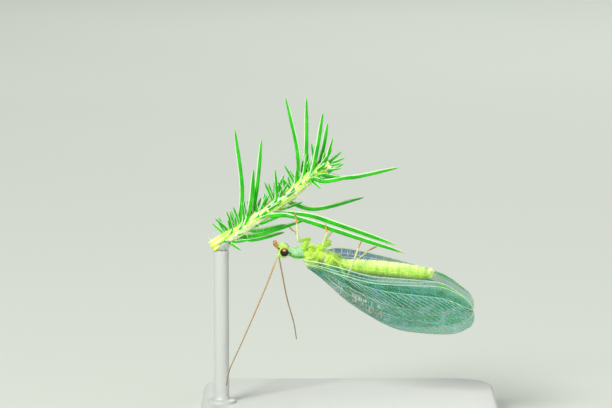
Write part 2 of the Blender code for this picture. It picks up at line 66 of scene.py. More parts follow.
def smooth_value(points, f):
    """Point at a fraction of the way through a list of points, on a smooth curve."""
    last = len(points) - 1
    k = min(int(f * last), last - 1)
    t = f * last - k
    a, b, c, d = [Vector(points[min(max(k + n, 0), last)]) for n in (-1, 0, 1, 2)]
    return 0.5 * (2 * b + (c - a) * t + (2 * a - 5 * b + 4 * c - d) * t ** 2
                  + (3 * b - a - 3 * c + d) * t ** 3)


def spline(points, steps):
    """Points at even distances along a smooth curve through the given points."""
    knots = [Vector(p) for p in points]
    knots = [2 * knots[0] - knots[1]] + knots + [2 * knots[-1] - knots[-2]]
    fine = []
    for k in range(1, len(knots) - 2):
        a, b, c, d = knots[k - 1:k + 3]
        for i in range(24):
            t = i / 24
            fine.append(0.5 * (2 * b + (c - a) * t + (2 * a - 5 * b + 4 * c - d) * t ** 2
                               + (3 * b - a - 3 * c + d) * t ** 3))
    fine.append(knots[-2])
    lengths = [0.0]
    for p, q in zip(fine, fine[1:]):
        lengths.append(lengths[-1] + (q - p).length)
    result = []
    k = 0
    for i in range(steps + 1):
        wanted = lengths[-1] * i / steps
        while k < len(fine) - 2 and lengths[k + 1] < wanted:
            k += 1
        part = (wanted - lengths[k]) / max(lengths[k + 1] - lengths[k], 1e-9)
        result.append(fine[k].lerp(fine[k + 1], min(part, 1.0)))
    return result


def sampled(route, f):
    k = min(int(f * (len(route) - 1)), len(route) - 2)
    return route[k].lerp(route[k + 1], f * (len(route) - 1) - k)


def profile(knots, f):
    """Value at f of a line through (place, value) knots, eased between them."""
    for (x0, y0), (x1, y1) in zip(knots, knots[1:]):
        if f <= x1:
            t = min(max((f - x0) / (x1 - x0), 0.0), 1.0)
            return y0 + (y1 - y0) * t * t * (3 - 2 * t)
    return knots[-1][1]


def ring_frames(route, radii, hint, flat):
    """Matrix of the cross section at each point of a route: its Z runs along the route."""
    frames = []
    across = Vector(hint) if hint is not None else None
    for k, point in enumerate(route):
        ahead = (route[min(k + 1, len(route) - 1)] - route[max(k - 1, 0)]).normalized()
        across = ahead.orthogonal() if across is None else across
        across = (across - ahead * across.dot(ahead)).normalized()
        turn = Matrix((across, ahead.cross(across), ahead)).transposed().to_4x4()
        size = max(radii[k], 2e-3)
        frames.append(Matrix.Translation(point) @ turn @ Matrix.Diagonal((size, size * flat, size, 1)))
    return frames


def domed(route, radii, start=True, end=True):
    """The same route with rounded ends."""
    route, radii = [Vector(p) for p in route], list(radii)
    for at_end in (False, True):
        if not (end if at_end else start):
            continue
        tip, inner = (route[-1], route[-2]) if at_end else (route[0], route[1])
        radius = radii[-1] if at_end else radii[0]
        out = (tip - inner).normalized()
        caps = [(tip + out * radius * math.sin(a), radius * math.cos(a))
                for a in (math.radians(35), math.radians(62), math.radians(80))]
        if at_end:
            route += [p for p, r in caps]
            radii += [r for p, r in caps]
        else:
            route = [p for p, r in reversed(caps)] + route
            radii = [r for p, r in reversed(caps)] + radii
    return route, radii


class Shape:
    """A piece in the making, in millimetres. Two values go with each point, for its material."""

    def __init__(self):
        self.bm = bmesh.new()
        self.layers(self.bm)

    @staticmethod
    def layers(bm):
        return [bm.verts.layers.float.new(name) for name in ("tone", "across")]

    def add(self, mesh, place=None):
        if place is not None:
            mesh.transform(place)
        self.bm.from_mesh(mesh)
        bpy.data.meshes.remove(mesh)
        return self

    def add_bm(self, bm):
        mesh = bpy.data.meshes.new("part")
        bm.to_mesh(mesh)
        bm.free()
        return self.add(mesh)

    def sweep(self, route, radii, sides=12, tones=(0.0, 0.0), hint=None, flat=1.0, dome=(False, False),
              channel=0.0):
        """A round or channelled body drawn out along a route, ring by ring."""
        route, radii = domed(route, radii, *dome)
        frames = ring_frames(route, radii, hint, flat)
        bm = bmesh.new()
        tone, across = self.layers(bm)
        ring = bmesh.ops.create_circle(bm, cap_ends=True, segments=sides, radius=1.0)["verts"]
        for vert in ring:
            vert[tone], vert[across] = tones[0], vert.co.x
            vert.co.y *= 1 - channel * max(0.0, 1 - abs(vert.co.x) / 0.7)
        edges = bm.edges[:]
        bmesh.ops.transform(bm, matrix=frames[0], verts=ring)
        for k in range(1, len(frames)):
            made = bmesh.ops.extrude_edge_only(bm, edges=edges)["geom"]
            ring = [g for g in made if isinstance(g, bmesh.types.BMVert)]
            edges = [g for g in made if isinstance(g, bmesh.types.BMEdge)]
            bmesh.ops.transform(bm, matrix=frames[k] @ frames[k - 1].inverted(), verts=ring)
            f = k / (len(frames) - 1)
            for vert in ring:
                vert[tone] = tones[0] + (tones[1] - tones[0]) * f
        bmesh.ops.edgeloop_fill(bm, edges=edges)
        bmesh.ops.recalc_face_normals(bm, faces=bm.faces[:])
        return self.add_bm(bm)

    def lobe(self, centre, radii, turn=(0, 0, 0), segments=24, rings=14, tone=0.0):
        """A rounded swelling, turned by degrees."""
        bm = bmesh.new()
        layer = self.layers(bm)[0]
        place = (Matrix.Translation(Vector(centre)) @ Euler([math.radians(a) for a in turn]).to_matrix().to_4x4()
                 @ Matrix.Diagonal((*radii, 1.0)))
        bmesh.ops.create_uvsphere(bm, u_segments=segments, v_segments=rings, radius=1.0, matrix=place)
        for vert in bm.verts:
            vert[layer] = tone
        bmesh.ops.recalc_face_normals(bm, faces=bm.faces[:])
        return self.add_bm(bm)

    def pair(self, centre, radii, turn=(0, 0, 0), **others):
        """The same swelling on both sides."""
        for side in SIDES.values():
            self.lobe((centre[0], centre[1] * side, centre[2]), radii,
                      (turn[0] * side, turn[1], turn[2] * side), **others)
        return self

    def wires(self, strands, resolution=0):
        """Many fine round wires at once, each given as its points and radii."""
        return self.add(wire_mesh(strands, resolution))

    def fused(self, voxel, rounds=2):
        """One closed skin around everything added so far."""
        mesh = bpy.data.meshes.new("rough")
        self.bm.to_mesh(mesh)
        self.bm.free()
        item = bpy.data.objects.new("rough", mesh)
        bpy.context.scene.collection.objects.link(item)
        step = item.modifiers.new("skin", "REMESH")
        step.mode = "VOXEL"
        step.voxel_size = voxel
        skin = evaluated_mesh(item)
        self.bm = bmesh.new()
        self.bm.from_mesh(skin)
        bpy.data.meshes.remove(skin)
        bpy.data.meshes.remove(mesh)
        for _ in range(rounds):
            bmesh.ops.smooth_vert(self.bm, verts=self.bm.verts[:], factor=0.5, use_axis_x=True,
                                  use_axis_y=True, use_axis_z=True)
        return self

    def displaced(self, relief):
        """Every point moved along its normal by relief(place)[0] mm, and marked with the other two."""
        self.bm.normal_update()
        tone, across = [self.bm.verts.layers.float.get(name) or self.bm.verts.layers.float.new(name)
                        for name in ("tone", "across")]
        moves = []
        for vert in self.bm.verts:
            height, seam, edge = relief(vert.co)
            moves.append((vert, vert.normal * height))
            if seam is not None:
                vert[tone], vert[across] = seam, edge
        for vert, move in moves:
            vert.co += move
        return self

    def finish(self, name, material, slot, nodes=(), place=POSE, sharp=None):
        """Makes the object of the piece, in metres, riding on the one body there is."""
        self.bm.normal_update()
        mesh = bpy.data.meshes.new(name)
        self.bm.to_mesh(mesh)
        self.bm.free()
        mesh.transform(TO_METRES @ place)
        mesh.shade_smooth()
        if sharp is not None:
            mesh.set_sharp_from_angle(angle=math.radians(sharp))
        mesh.materials.append(material)
        item = bpy.data.objects.new(name, mesh)
        bpy.context.scene.collection.objects.link(item)
        return dress(item, nodes)


def dress(item, nodes=()):
    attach(item, "root")
    if nodes:
        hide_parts(*nodes)
    return item


def evaluated_mesh(item):
    """The mesh an object comes to with its modifiers, and the object gone."""
    bpy.context.view_layer.update()
    graph = bpy.context.evaluated_depsgraph_get()
    mesh = bpy.data.meshes.new_from_object(item.evaluated_get(graph))
    bpy.data.objects.remove(item, do_unlink=True)
    return mesh


def wire_mesh(strands, resolution):
    curve = bpy.data.curves.new("wires", "CURVE")
    curve.dimensions = "3D"
    curve.bevel_depth = 1.0
    curve.bevel_resolution = resolution
    curve.use_fill_caps = True
    for points, radii in strands:
        line = curve.splines.new("POLY")
        line.points.add(len(points) - 1)
        for knot, place, radius in zip(line.points, points, radii):
            knot.co = (*place, 1.0)
            knot.radius = radius
    item = bpy.data.objects.new("wires", curve)
    bpy.context.scene.collection.objects.link(item)
    return evaluated_mesh(item)


# Materials

class Number:
    """A socket that carries a number and takes part in Python arithmetic."""

    def __init__(self, paint, socket):
        self.paint = paint
        self.socket = socket

    def _with(self, operation, *values):
        return self.paint.number("ShaderNodeMath", {"operation": operation},
                                 {k: v for k, v in enumerate(values)})

    def __add__(self, other):
        return self._with("ADD", self, other)

    __radd__ = __add__

    def __mul__(self, other):
        return self._with("MULTIPLY", self, other)

    __rmul__ = __mul__

    def __sub__(self, other):
        return self._with("SUBTRACT", self, other)

    def __rsub__(self, other):
        return self._with("SUBTRACT", other, self)

    def __truediv__(self, other):
        return self._with("DIVIDE", self, other)

    def __neg__(self):
        return self._with("MULTIPLY", self, -1.0)

    def __pow__(self, other):
        return self._with("POWER", self, other)

    def __abs__(self):
        return self._with("ABSOLUTE", self)

    def clamped(self):
        return self.paint.number("ShaderNodeClamp", {}, {"Value": self})


class Paint:
    """One material in the making: a Principled shader and the nodes that feed it."""

    def __init__(self, name, **constants):
        self.material = bpy.data.materials.new(name)
        self.material.use_nodes = True
        self.tree = self.material.node_tree
        self.shader = self.tree.nodes["Principled BSDF"]
        for socket, value in constants.items():
            self.shader.inputs[socket.replace("_", " ")].default_value = value

    def node(self, kind, settings=None, values=None):
        """A node with its settings, and values or links on its inputs."""
        node = self.tree.nodes.new(kind)
        for key, value in (settings or {}).items():
            if key == "stops":
                ramp = node.color_ramp
                while len(ramp.elements) < len(value):
                    ramp.elements.new(0.5)
                for element, (place, colour) in zip(ramp.elements, value):
                    element.position = place
                    element.color = (*colour, 1.0)
            else:
                setattr(node, key, value)
        for key, value in (values or {}).items():
            self.feed(node.inputs[key], value)
        return node

    def feed(self, socket, value):
        if isinstance(value, Number):
            value = value.socket
        if isinstance(value, bpy.types.NodeSocket):
            self.tree.links.new(value, socket)
        elif socket.type == "RGBA" and len(value) == 3:
            socket.default_value = (*value, 1.0)
        else:
            socket.default_value = value

    def number(self, kind, settings, values, output=0):
        return Number(self, self.node(kind, settings, values).outputs[output])

    def attribute(self, name):
        return self.number("ShaderNodeAttribute", {"attribute_name": name}, {}, "Fac")

    def place(self, body=True):
        """Where a point is in millimetres, in the insect's frame or in the world's."""
        coords = self.node("ShaderNodeTexCoord").outputs["Object"]
        turn = TURN.to_euler() if body else Euler((0, 0, 0))
        origin = POSE_ORIGIN * MM if body else Vector((0, 0, 0))
        return self.node("ShaderNodeMapping", {"vector_type": "TEXTURE"},
                         {"Vector": coords, "Location": origin, "Rotation": turn,
                          "Scale": (MM, MM, MM)}).outputs[0]

    def axes(self, vector):
        split = self.node("ShaderNodeSeparateXYZ", {}, {0: vector})
        return [Number(self, split.outputs[k]) for k in range(3)]

    def stretched(self, vector, scale):
        return self.node("ShaderNodeVectorMath", {"operation": "MULTIPLY"}, {0: vector, 1: scale}).outputs[0]

    def distance(self, vector, point):
        return self.number("ShaderNodeVectorMath", {"operation": "DISTANCE"}, {0: vector, 1: point}, "Value")

    def noise(self, vector, scale, detail=3.0, roughness=0.55):
        return self.number("ShaderNodeTexNoise", {}, {"Vector": vector, "Scale": scale, "Detail": detail,
                                                      "Roughness": roughness})

    def cells(self, vector, scale, feature="F1", randomness=1.0):
        return self.number("ShaderNodeTexVoronoi", {"feature": feature},
                           {"Vector": vector, "Scale": scale, "Randomness": randomness}, "Distance")

    def band(self, value, low, high, start=0.0, end=1.0):
        """Runs smoothly from start to end as the value goes from low to high."""
        return self.number("ShaderNodeMapRange", {"interpolation_type": "SMOOTHSTEP"},
                           {"Value": value, "From Min": low, "From Max": high, "To Min": start,
                            "To Max": end})

    def spot(self, vector, point, inner, outer):
        return self.band(self.distance(vector, point), inner, outer, 1.0, 0.0)

    def blend(self, factor, first, second):
        """A colour between two colours."""
        node = self.node("ShaderNodeMix", {"data_type": "RGBA"})
        self.feed(node.inputs[0], factor)
        self.feed(node.inputs[6], first)
        self.feed(node.inputs[7], second)
        return node.outputs[2]

    def ramp(self, value, *stops):
        return self.node("ShaderNodeValToRGB", {"stops": stops}, {0: value}).outputs[0]

    def bump(self, height, strength, distance):
        return self.node("ShaderNodeBump", {}, {"Height": height, "Strength": strength,
                                                "Distance": distance * MM}).outputs[0]

    def done(self, **links):
        for socket, value in links.items():
            self.feed(self.shader.inputs[socket.replace("_", " ")], value)
        return self.material


def skin_paint():
    """Waxy yellow-green cuticle, mint on the flanks of the neck shield, with its marks, painted dappled shade and a
    painted lighter coat on the shaded back of the abdomen.
    """
    p = Paint("insect_skin", Subsurface_Weight=0.12, Subsurface_Scale=0.3 * MM,
              Subsurface_Radius=(0.8, 1.0, 0.3), Specular_IOR_Level=0.35, Coat_Roughness=0.35)
    at = p.place()
    x, y, z = p.axes(at)
    side = p.node("ShaderNodeCombineXYZ", {}, {0: x, 1: abs(y), 2: z}).outputs[0]
    grain = p.noise(at, 2.2, 4.0)
    fleck = p.noise(at, 7.0, 3.0)
    lime, yellow, leaf = (0.43, 0.82, 0.08), (0.68, 0.96, 0.16), (0.28, 0.7, 0.05)
    cream = (0.86, 0.97, 0.42)
    colour = p.blend(p.band(grain, 0.38, 0.62), lime, yellow)
    colour = p.blend(p.band(fleck, 0.5, 0.64) * 0.5, colour, cream)
    # Painted dappled shade: random darker leaf-green patches over the whole skin.
    mottled_shade = p.noise(at, 4.2, 3.0, 0.7)
    colour = p.blend(p.band(mottled_shade, 0.5, 0.38) * 0.55, colour, leaf)
    belly = p.band(x, -1.9, -2.3)
    under = p.band(z - 0.2 * grain, -0.1, 0.16, 1.0, 0.0)
    colour = p.blend(belly * under * 0.8, colour, cream)
    # Painted fill light: the abdomen's back, which hangs down in shade, is given a lighter green.
    colour = p.blend(belly * p.band(z + 0.2 * grain, 0.7, 1.0) * 0.7, colour, (0.64, 0.98, 0.2))
    seam, edge = p.attribute("tone"), p.attribute("across")
    winged = p.band(x, -2.0, -1.7) * p.band(x, 1.1, 0.95)
    plate = p.band(edge + (grain - 0.5) * 0.5, 0.05, 0.55, 1.0, 0.0)
    colour = p.blend(winged, colour, (0.45, 0.8, 0.05))
    colour = p.blend(winged * plate * p.band(x, -1.2, -0.3, 0.6, 1.0), colour, (0.66, 0.93, 0.04))
    colour = p.blend(winged * p.band(edge, 0.3, 0.9) * 0.4, colour, (0.8, 0.97, 0.42))
    colour = p.blend(winged * p.band(fleck, 0.58, 0.66) * 0.45, colour, (0.92, 0.98, 0.6))
    joint = p.band(x, -0.4, -0.6) * p.band(x, -0.95, -0.8)
    colour = p.blend(joint * 0.45, colour, (0.8, 0.95, 0.5))
    colour = p.blend(p.band(seam, 0.35, 0.95) * 0.4, colour, (0.24, 0.5, 0.03))
    collar = p.band(x, 0.85, 1.05) * p.band(x, 2.4, 2.2)
    mint = p.blend(p.band(fleck, 0.4, 0.62), (0.26, 0.6, 0.24), (0.52, 0.76, 0.48))
    colour = p.blend(collar, colour, mint)
    colour = p.blend(collar * p.band(z + 0.1 * grain, -0.08, 0.05), colour, (0.08, 0.56, 0.02))
    back_line = p.band(abs(y), 0.06, 0.16, 1.0, 0.0) * p.band(z, 0.3, 0.45) * p.band(x, -1.6, -1.2)
    colour = p.blend(back_line * 0.8, colour, (0.9, 0.84, 0.3))
    face = p.band(x, 2.9, 3.1)
    colour = p.blend(face * 0.7, colour, (0.56, 0.66, 0.12))
    nape = p.band(x, 2.45, 2.3) * p.band(x, 2.1, 2.25)
    colour = p.blend(nape * 0.7, colour, (0.6, 0.86, 0.34))
    dark = p.spot(side, (3.02, 0.39, -0.5), 0.06, 0.12)
    dark = dark + p.spot(p.stretched(side, (0.6, 1.0, 1.3)), (1.27, 0.36, -0.22), 0.07, 0.14) * (grain * 0.8 + 0.35)
    dark = dark + p.spot(p.stretched(side, (1.0, 1.0, 0.35)), (-1.54, 0.48, -0.08), 0.02, 0.1) * 0.7
    dark = dark + p.spot(p.stretched(side, (1.0, 1.0, 0.35)), (-0.72, 0.5, -0.07), 0.01, 0.09) * 0.35
    colour = p.blend(dark.clamped(), colour, (0.012, 0.01, 0.004))
    red = p.spot(side, (3.12, 0.26, -0.62), 0.06, 0.2) + p.spot(side, (0.84, 0.8, 0.42), 0.03, 0.12)
    colour = p.blend((red * 0.8).clamped(), colour, (0.4, 0.06, 0.0))
    tip = p.spot(side, (-9.4, 0.1, 0.22), 0.22, 0.5)
    colour = p.blend(tip * 0.9, colour, (0.96, 0.93, 0.5))
    wrinkles = p.noise(p.stretched(at, (7.0, 3.0, 3.0)), 2.2, 5.0, 0.65)
    pores = p.cells(at, 22.0)
    return p.done(Base_Color=colour, Roughness=p.band(wrinkles, 0.3, 0.7, 0.38, 0.55),
                  Normal=p.bump(wrinkles + pores * 0.25, 0.5, 0.03))


def eye_paint():
    """Dark bronze facets with a green rim, and a painted copper and gold highlight on the upper half, brightest at
    its centre.
    """
    p = Paint("eye_bronze", Coat_Weight=0.12, Coat_Roughness=0.1, Specular_IOR_Level=0.2)
    at = p.place()
    x, y, z = p.axes(at)
    side = p.node("ShaderNodeCombineXYZ", {}, {0: x, 1: abs(y), 2: z}).outputs[0]
    # Painted highlight: a copper-gold patch on the eye's upper half, facing the camera, with a paler spot at its
    # centre; the patch is also made a little metallic.
    painted_highlight = p.spot(side, (2.57, 0.7, -0.6), 0.1, 0.26)
    painted_glint = p.spot(side, (2.57, 0.75, -0.57), 0.02, 0.13)
    rim = p.band(abs(y), 0.57, 0.5)
    bands = p.noise(p.stretched(at, (1.0, 1.0, 4.0)), 3.0, 2.0)
    colour = p.blend(p.band(bands, 0.4, 0.65), (0.002, 0.016, 0.002), (0.008, 0.036, 0.004))
    colour = p.blend(rim, colour, (0.08, 0.26, 0.02))
    colour = p.blend(painted_highlight, colour, (0.62, 0.13, 0.05))
    colour = p.blend(painted_glint, colour, (1.0, 0.62, 0.42))
    facets = p.cells(at, 30.0, "DISTANCE_TO_EDGE", 0.4)
    return p.done(Base_Color=colour, Metallic=painted_highlight * 0.4 + 0.1,
                  Roughness=p.band(facets, 0.0, 0.12, 0.5, 0.2),
                  Normal=p.bump(p.band(facets, 0.0, 0.2), 0.4, 0.01))


def horn_paint(name, *stops, bump=0.3, roughness=0.4):
    """Horny cuticle whose colour runs along the piece, through the given stops."""
    p = Paint(name, Subsurface_Weight=0.15, Subsurface_Scale=0.1 * MM, Specular_IOR_Level=0.4)
    at = p.place()
    grain = p.noise(at, 9.0, 3.0)
    along = p.attribute("tone") + (grain - 0.5) * 0.12
    colour = p.ramp(along, *stops)
    colour = p.blend(p.band(grain, 0.55, 0.8) * 0.25, colour, (0.9, 0.9, 0.7))
    return p.done(Base_Color=colour, Roughness=p.band(grain, 0.3, 0.7, roughness, roughness + 0.15),
                  Normal=p.bump(grain, bump, 0.01))


def film_paint():
    """Clear wing film, faintly blue-green, with painted pink and blue iridescent reflections, a painted bluish
    glare and a green cell at its tip.
    """
    p = Paint("wing_film", Specular_IOR_Level=0.7, IOR=1.5, Thin_Film_Thickness=420.0,
              Thin_Film_IOR=1.4)
    at = p.place()
    u, v = p.attribute("tone"), p.attribute("across")
    play = p.noise(p.stretched(at, (1.0, 1.0, 1.6)), 0.9, 3.0)
    shimmer = p.noise(p.stretched(at, (6.0, 1.0, 0.9)), 1.3, 2.0)
    colour = p.ramp(play, (0.34, (0.02, 0.24, 0.13)), (0.45, (0.03, 0.36, 0.2)),
                    (0.55, (0.07, 0.46, 0.32)), (0.66, (0.12, 0.42, 0.46)))
    # Painted pink iridescent reflection in patches on the middle of the wing, where the film is also made less
    # clear.
    rosy_reflection = p.band(shimmer, 0.44, 0.58) * p.band(v, 0.45, 0.6) * p.band(v, 0.98, 0.86) * p.band(u, 0.54, 0.4)
    rosy_reflection = rosy_reflection * p.band(u, 0.12, 0.18)
    colour = p.blend(rosy_reflection * 0.7, colour, p.blend(p.band(play, 0.42, 0.52), (0.9, 0.58, 0.48), (0.8, 0.8, 0.8)))
    fine = p.noise(p.stretched(at, (2.5, 1.0, 2.5)), 1.6, 3.0)
    glare = p.band(play, 0.55, 0.64) * p.band(v, 0.3, 0.45) * 0.4
    colour = p.blend(glare, colour, (0.6, 0.64, 0.74))
    # Painted pink reflection in fine streaks near the front of the wing.
    colour = p.blend(p.band(fine, 0.56, 0.66) * p.band(v, 0.3, 0.4) * 0.35, colour, (0.62, 0.34, 0.42))
    # Painted blue iridescent reflection near the front, on the left wings only.
    left = p.band(p.axes(at)[1], -0.1, 0.3)
    blue = p.band(shimmer, 0.38, 0.52) * p.band(v, 0.26, 0.14) * p.band(u, 0.62, 0.4) * left
    colour = p.blend(blue * 0.85, colour, (0.16, 0.2, 0.72))
    lead = p.band(v, 0.16, 0.06) * p.band(u, 0.3, 0.5)
    colour = p.blend(lead * 0.6, colour, (0.46, 0.62, 0.58))
    cell = p.band(v, 0.095, 0.078) * p.band(v, 0.018, 0.034) * p.band(u, 0.75, 0.8) * p.band(u, 0.985, 0.95)
    colour = p.blend(cell, colour, (0.12, 0.5, 0.09))
    root = p.band(u, 0.14, 0.02)
    colour = p.blend(root, colour, p.blend(p.band(v, 0.2, 0.45), (0.5, 0.76, 0.28), (0.04, 0.3, 0.2)))
    alpha = p.band(play, 0.3, 0.7, 0.26, 0.38) + p.band(v, 0.5, 0.65) * 0.1 + cell * 0.35 + root * 0.3 + rosy_reflection * 0.5 + blue * 0.4 + lead * 0.12
    ripple = p.noise(at, 3.5, 3.0)
    return p.done(Base_Color=colour, Alpha=alpha.clamped(), Roughness=p.band(ripple, 0.3, 0.7, 0.14, 0.32),
                  Normal=p.bump(ripple, 0.35, 0.04))


def vein_paint(name, pale, cool):
    """Wing veins: fresh green at the root, pale green-white outwards."""
    p = Paint(name, Subsurface_Weight=0.1, Subsurface_Scale=0.1 * MM, Specular_IOR_Level=0.3)
    at = p.place()
    x, y, z = p.axes(at)
    grain = p.noise(at, 6.0, 2.0)
    tint = p.blend(p.band(grain, 0.35, 0.65), cool, pale)
    colour = p.blend(p.band(x, -3.6, 0.2), tint, (0.68, 0.88, 0.34))
    shade = p.band(x, -1.8, -0.4) * p.band(z, 0.4, 1.0)
    colour = p.blend(shade * 0.8, colour, (0.1, 0.42, 0.3))
    return p.done(Base_Color=colour, Roughness=p.band(grain, 0.3, 0.7, 0.35, 0.5))


def hair_paint(name, light, dark):
    p = Paint(name, Specular_IOR_Level=0.5)
    grain = p.noise(p.place(), 1.5, 2.0)
    return p.done(Base_Color=p.blend(grain, dark, light), Roughness=p.band(grain, 0.3, 0.7, 0.35, 0.55))


def stem_paint():
    """Yellow-green stem with long whitish streaks, and pale pith where it is cut."""
    p = Paint("stem_green", Subsurface_Weight=0.15, Subsurface_Scale=0.4 * MM, Specular_IOR_Level=0.4)
    at = p.place(body=False)
    slant = Euler((0, math.radians(-35), 0))
    along = p.node("ShaderNodeMapping", {"vector_type": "TEXTURE"}, {"Vector": at, "Rotation": slant}).outputs[0]
    streak = p.noise(p.stretched(along, (0.25, 4.5, 4.5)), 1.0, 4.0)
    patch = p.noise(at, 0.9, 3.0)
    colour = p.blend(p.band(patch, 0.42, 0.62), (0.86, 0.96, 0.16), (0.58, 0.88, 0.07))
    colour = p.blend(p.band(streak, 0.51, 0.58) * 0.85, colour, (0.97, 1.0, 0.78))
    colour = p.blend(p.band(streak, 0.47, 0.38) * 0.75, colour, (0.2, 0.56, 0.02))
    cut = p.attribute("tone")
    rays = p.noise(at, 7.0, 2.0)
    pith = p.blend(rays, (0.78, 0.84, 0.5), (0.9, 0.92, 0.7))
    colour = p.blend(p.band(cut, 0.4, 0.6), colour, pith)
    return p.done(Base_Color=colour, Roughness=p.band(streak, 0.3, 0.7, 0.42, 0.6),
                  Normal=p.bump(streak, 0.5, 0.06))


def leaf_paint():
    """Bright green needle leaf with a whitish edge and a yellow foot."""
    p = Paint("leaf_green", Subsurface_Weight=0.2, Subsurface_Scale=0.3 * MM, Specular_IOR_Level=0.3)
    at = p.place(body=False)
    along, across = p.attribute("tone"), p.attribute("across")
    grid = p.node("ShaderNodeCombineXYZ", {}, {0: along * 2.5, 1: across * 6.0}).outputs[0]
    patch = p.noise(at, 0.8, 3.0)
    nerves = p.noise(grid, 1.6, 3.0)
    colour = p.blend(p.band(patch, 0.3, 0.7), (0.0, 0.42, 0.0), (0.03, 0.62, 0.0))
    colour = p.blend(p.band(nerves, 0.5, 0.7) * 0.5, colour, (0.16, 0.62, 0.03))
    colour = p.blend(p.band(nerves, 0.45, 0.3) * 0.4, colour, (0.005, 0.2, 0.003))
    colour = p.blend(p.band(along, 0.22, 0.0) * 0.85, colour, (0.46, 0.8, 0.05))
    ragged = across + (nerves - 0.5) * 0.45
    colour = p.blend(p.band(ragged, 0.46, 0.64) * 0.9, colour, (0.78, 0.93, 0.66))
    colour = p.blend(p.band(along, 0.86, 0.98) * 0.7, colour, (0.8, 0.85, 0.5))
    return p.done(Base_Color=colour, Roughness=p.band(nerves, 0.3, 0.7, 0.38, 0.55),
                  Normal=p.bump(nerves, 0.4, 0.05))


def stand_paint(name, light, dark, roughness):
    """Satin paint with a faint orange peel."""
    p = Paint(name, Specular_IOR_Level=0.4, Coat_Weight=0.15, Coat_Roughness=0.3)
    at = p.place(body=False)
    cloud = p.noise(at, 0.12, 3.0)
    peel = p.noise(at, 5.0, 3.0)
    return p.done(Base_Color=p.blend(cloud, dark, light), Normal=p.bump(peel, 0.12, 0.03),
                  Roughness=p.band(peel, 0.3, 0.7, roughness, roughness + 0.12))


def floor_paint():
    p = Paint("floor", Specular_IOR_Level=0.2)
    cloud = p.noise(p.place(body=False), 0.01, 2.0)
    return p.done(Base_Color=p.blend(cloud, (0.66, 0.7, 0.64), (0.7, 0.73, 0.68)),
                  Roughness=p.band(cloud, 0.3, 0.7, 0.7, 0.85))


# Body

TRUNK_CORE = (((2.3, 0.0, -0.12), 0.3), ((2.12, 0.0, -0.13), 0.36), ((1.85, 0.0, -0.13), 0.49),
              ((1.45, 0.0, -0.16), 0.5), ((1.12, 0.0, -0.18), 0.46), ((0.98, 0.0, -0.18), 0.43),
              ((0.8, 0.0, -0.18), 0.5), ((0.4, 0.0, -0.2), 0.6), ((0.0, 0.0, -0.2), 0.64),
              ((-0.4, 0.0, -0.16), 0.58), ((-0.66, 0.0, -0.06), 0.5), ((-0.9, 0.0, 0.06), 0.54),
              ((-1.3, 0.0, 0.24), 0.55), ((-1.65, 0.0, 0.38), 0.46), ((-1.9, 0.0, 0.46), 0.38))
ABDOMEN_LINE = (((-1.75, 0.5), 0.36), ((-2.3, 0.52), 0.42), ((-3.2, 0.54), 0.51), ((-4.5, 0.53), 0.6),
                ((-6.2, 0.54), 0.61), ((-7.7, 0.57), 0.57), ((-8.6, 0.59), 0.48), ((-9.05, 0.58), 0.34))
SEGMENT_ENDS = (-2.35, -3.15, -4.05, -4.95, -5.85, -6.75, -7.6, -8.35, -8.9)


def abdomen_shape(body):
    """Soft rings that swell between narrow folds, and the lobes at the tip."""
    count = 150
    route, radii = [], []
    for k in range(count + 1):
        f = k / count
        x, z = smooth_value([p for p, r in ABDOMEN_LINE], f)
        radius = smooth_value([(r, 0.0) for p, r in ABDOMEN_LINE], f)[0]
        fold = sum(math.exp(-((x - end) / 0.055) ** 2) for end in SEGMENT_ENDS)
        lap = sum(math.exp(-((x - end - 0.16) / 0.12) ** 2) for end in SEGMENT_ENDS)
        route.append(Vector((x, 0.0, z)))
        radii.append(radius * (1 - 0.085 * fold + 0.03 * lap))
    body.sweep(route, radii, 40, hint=(0, 1, 0), dome=(False, True))
    body.pair((-9.3, 0.16, 0.76), (0.24, 0.13, 0.19), (0, 10, 6))
    body.pair((-9.18, 0.12, 0.3), (0.27, 0.13, 0.12), (0, -22, 0))
    body.lobe((-9.42, 0.0, 0.55), (0.12, 0.07, 0.13))
    body.pair((-9.46, 0.1, 0.34), (0.12, 0.07, 0.07), (0, -10, 0))


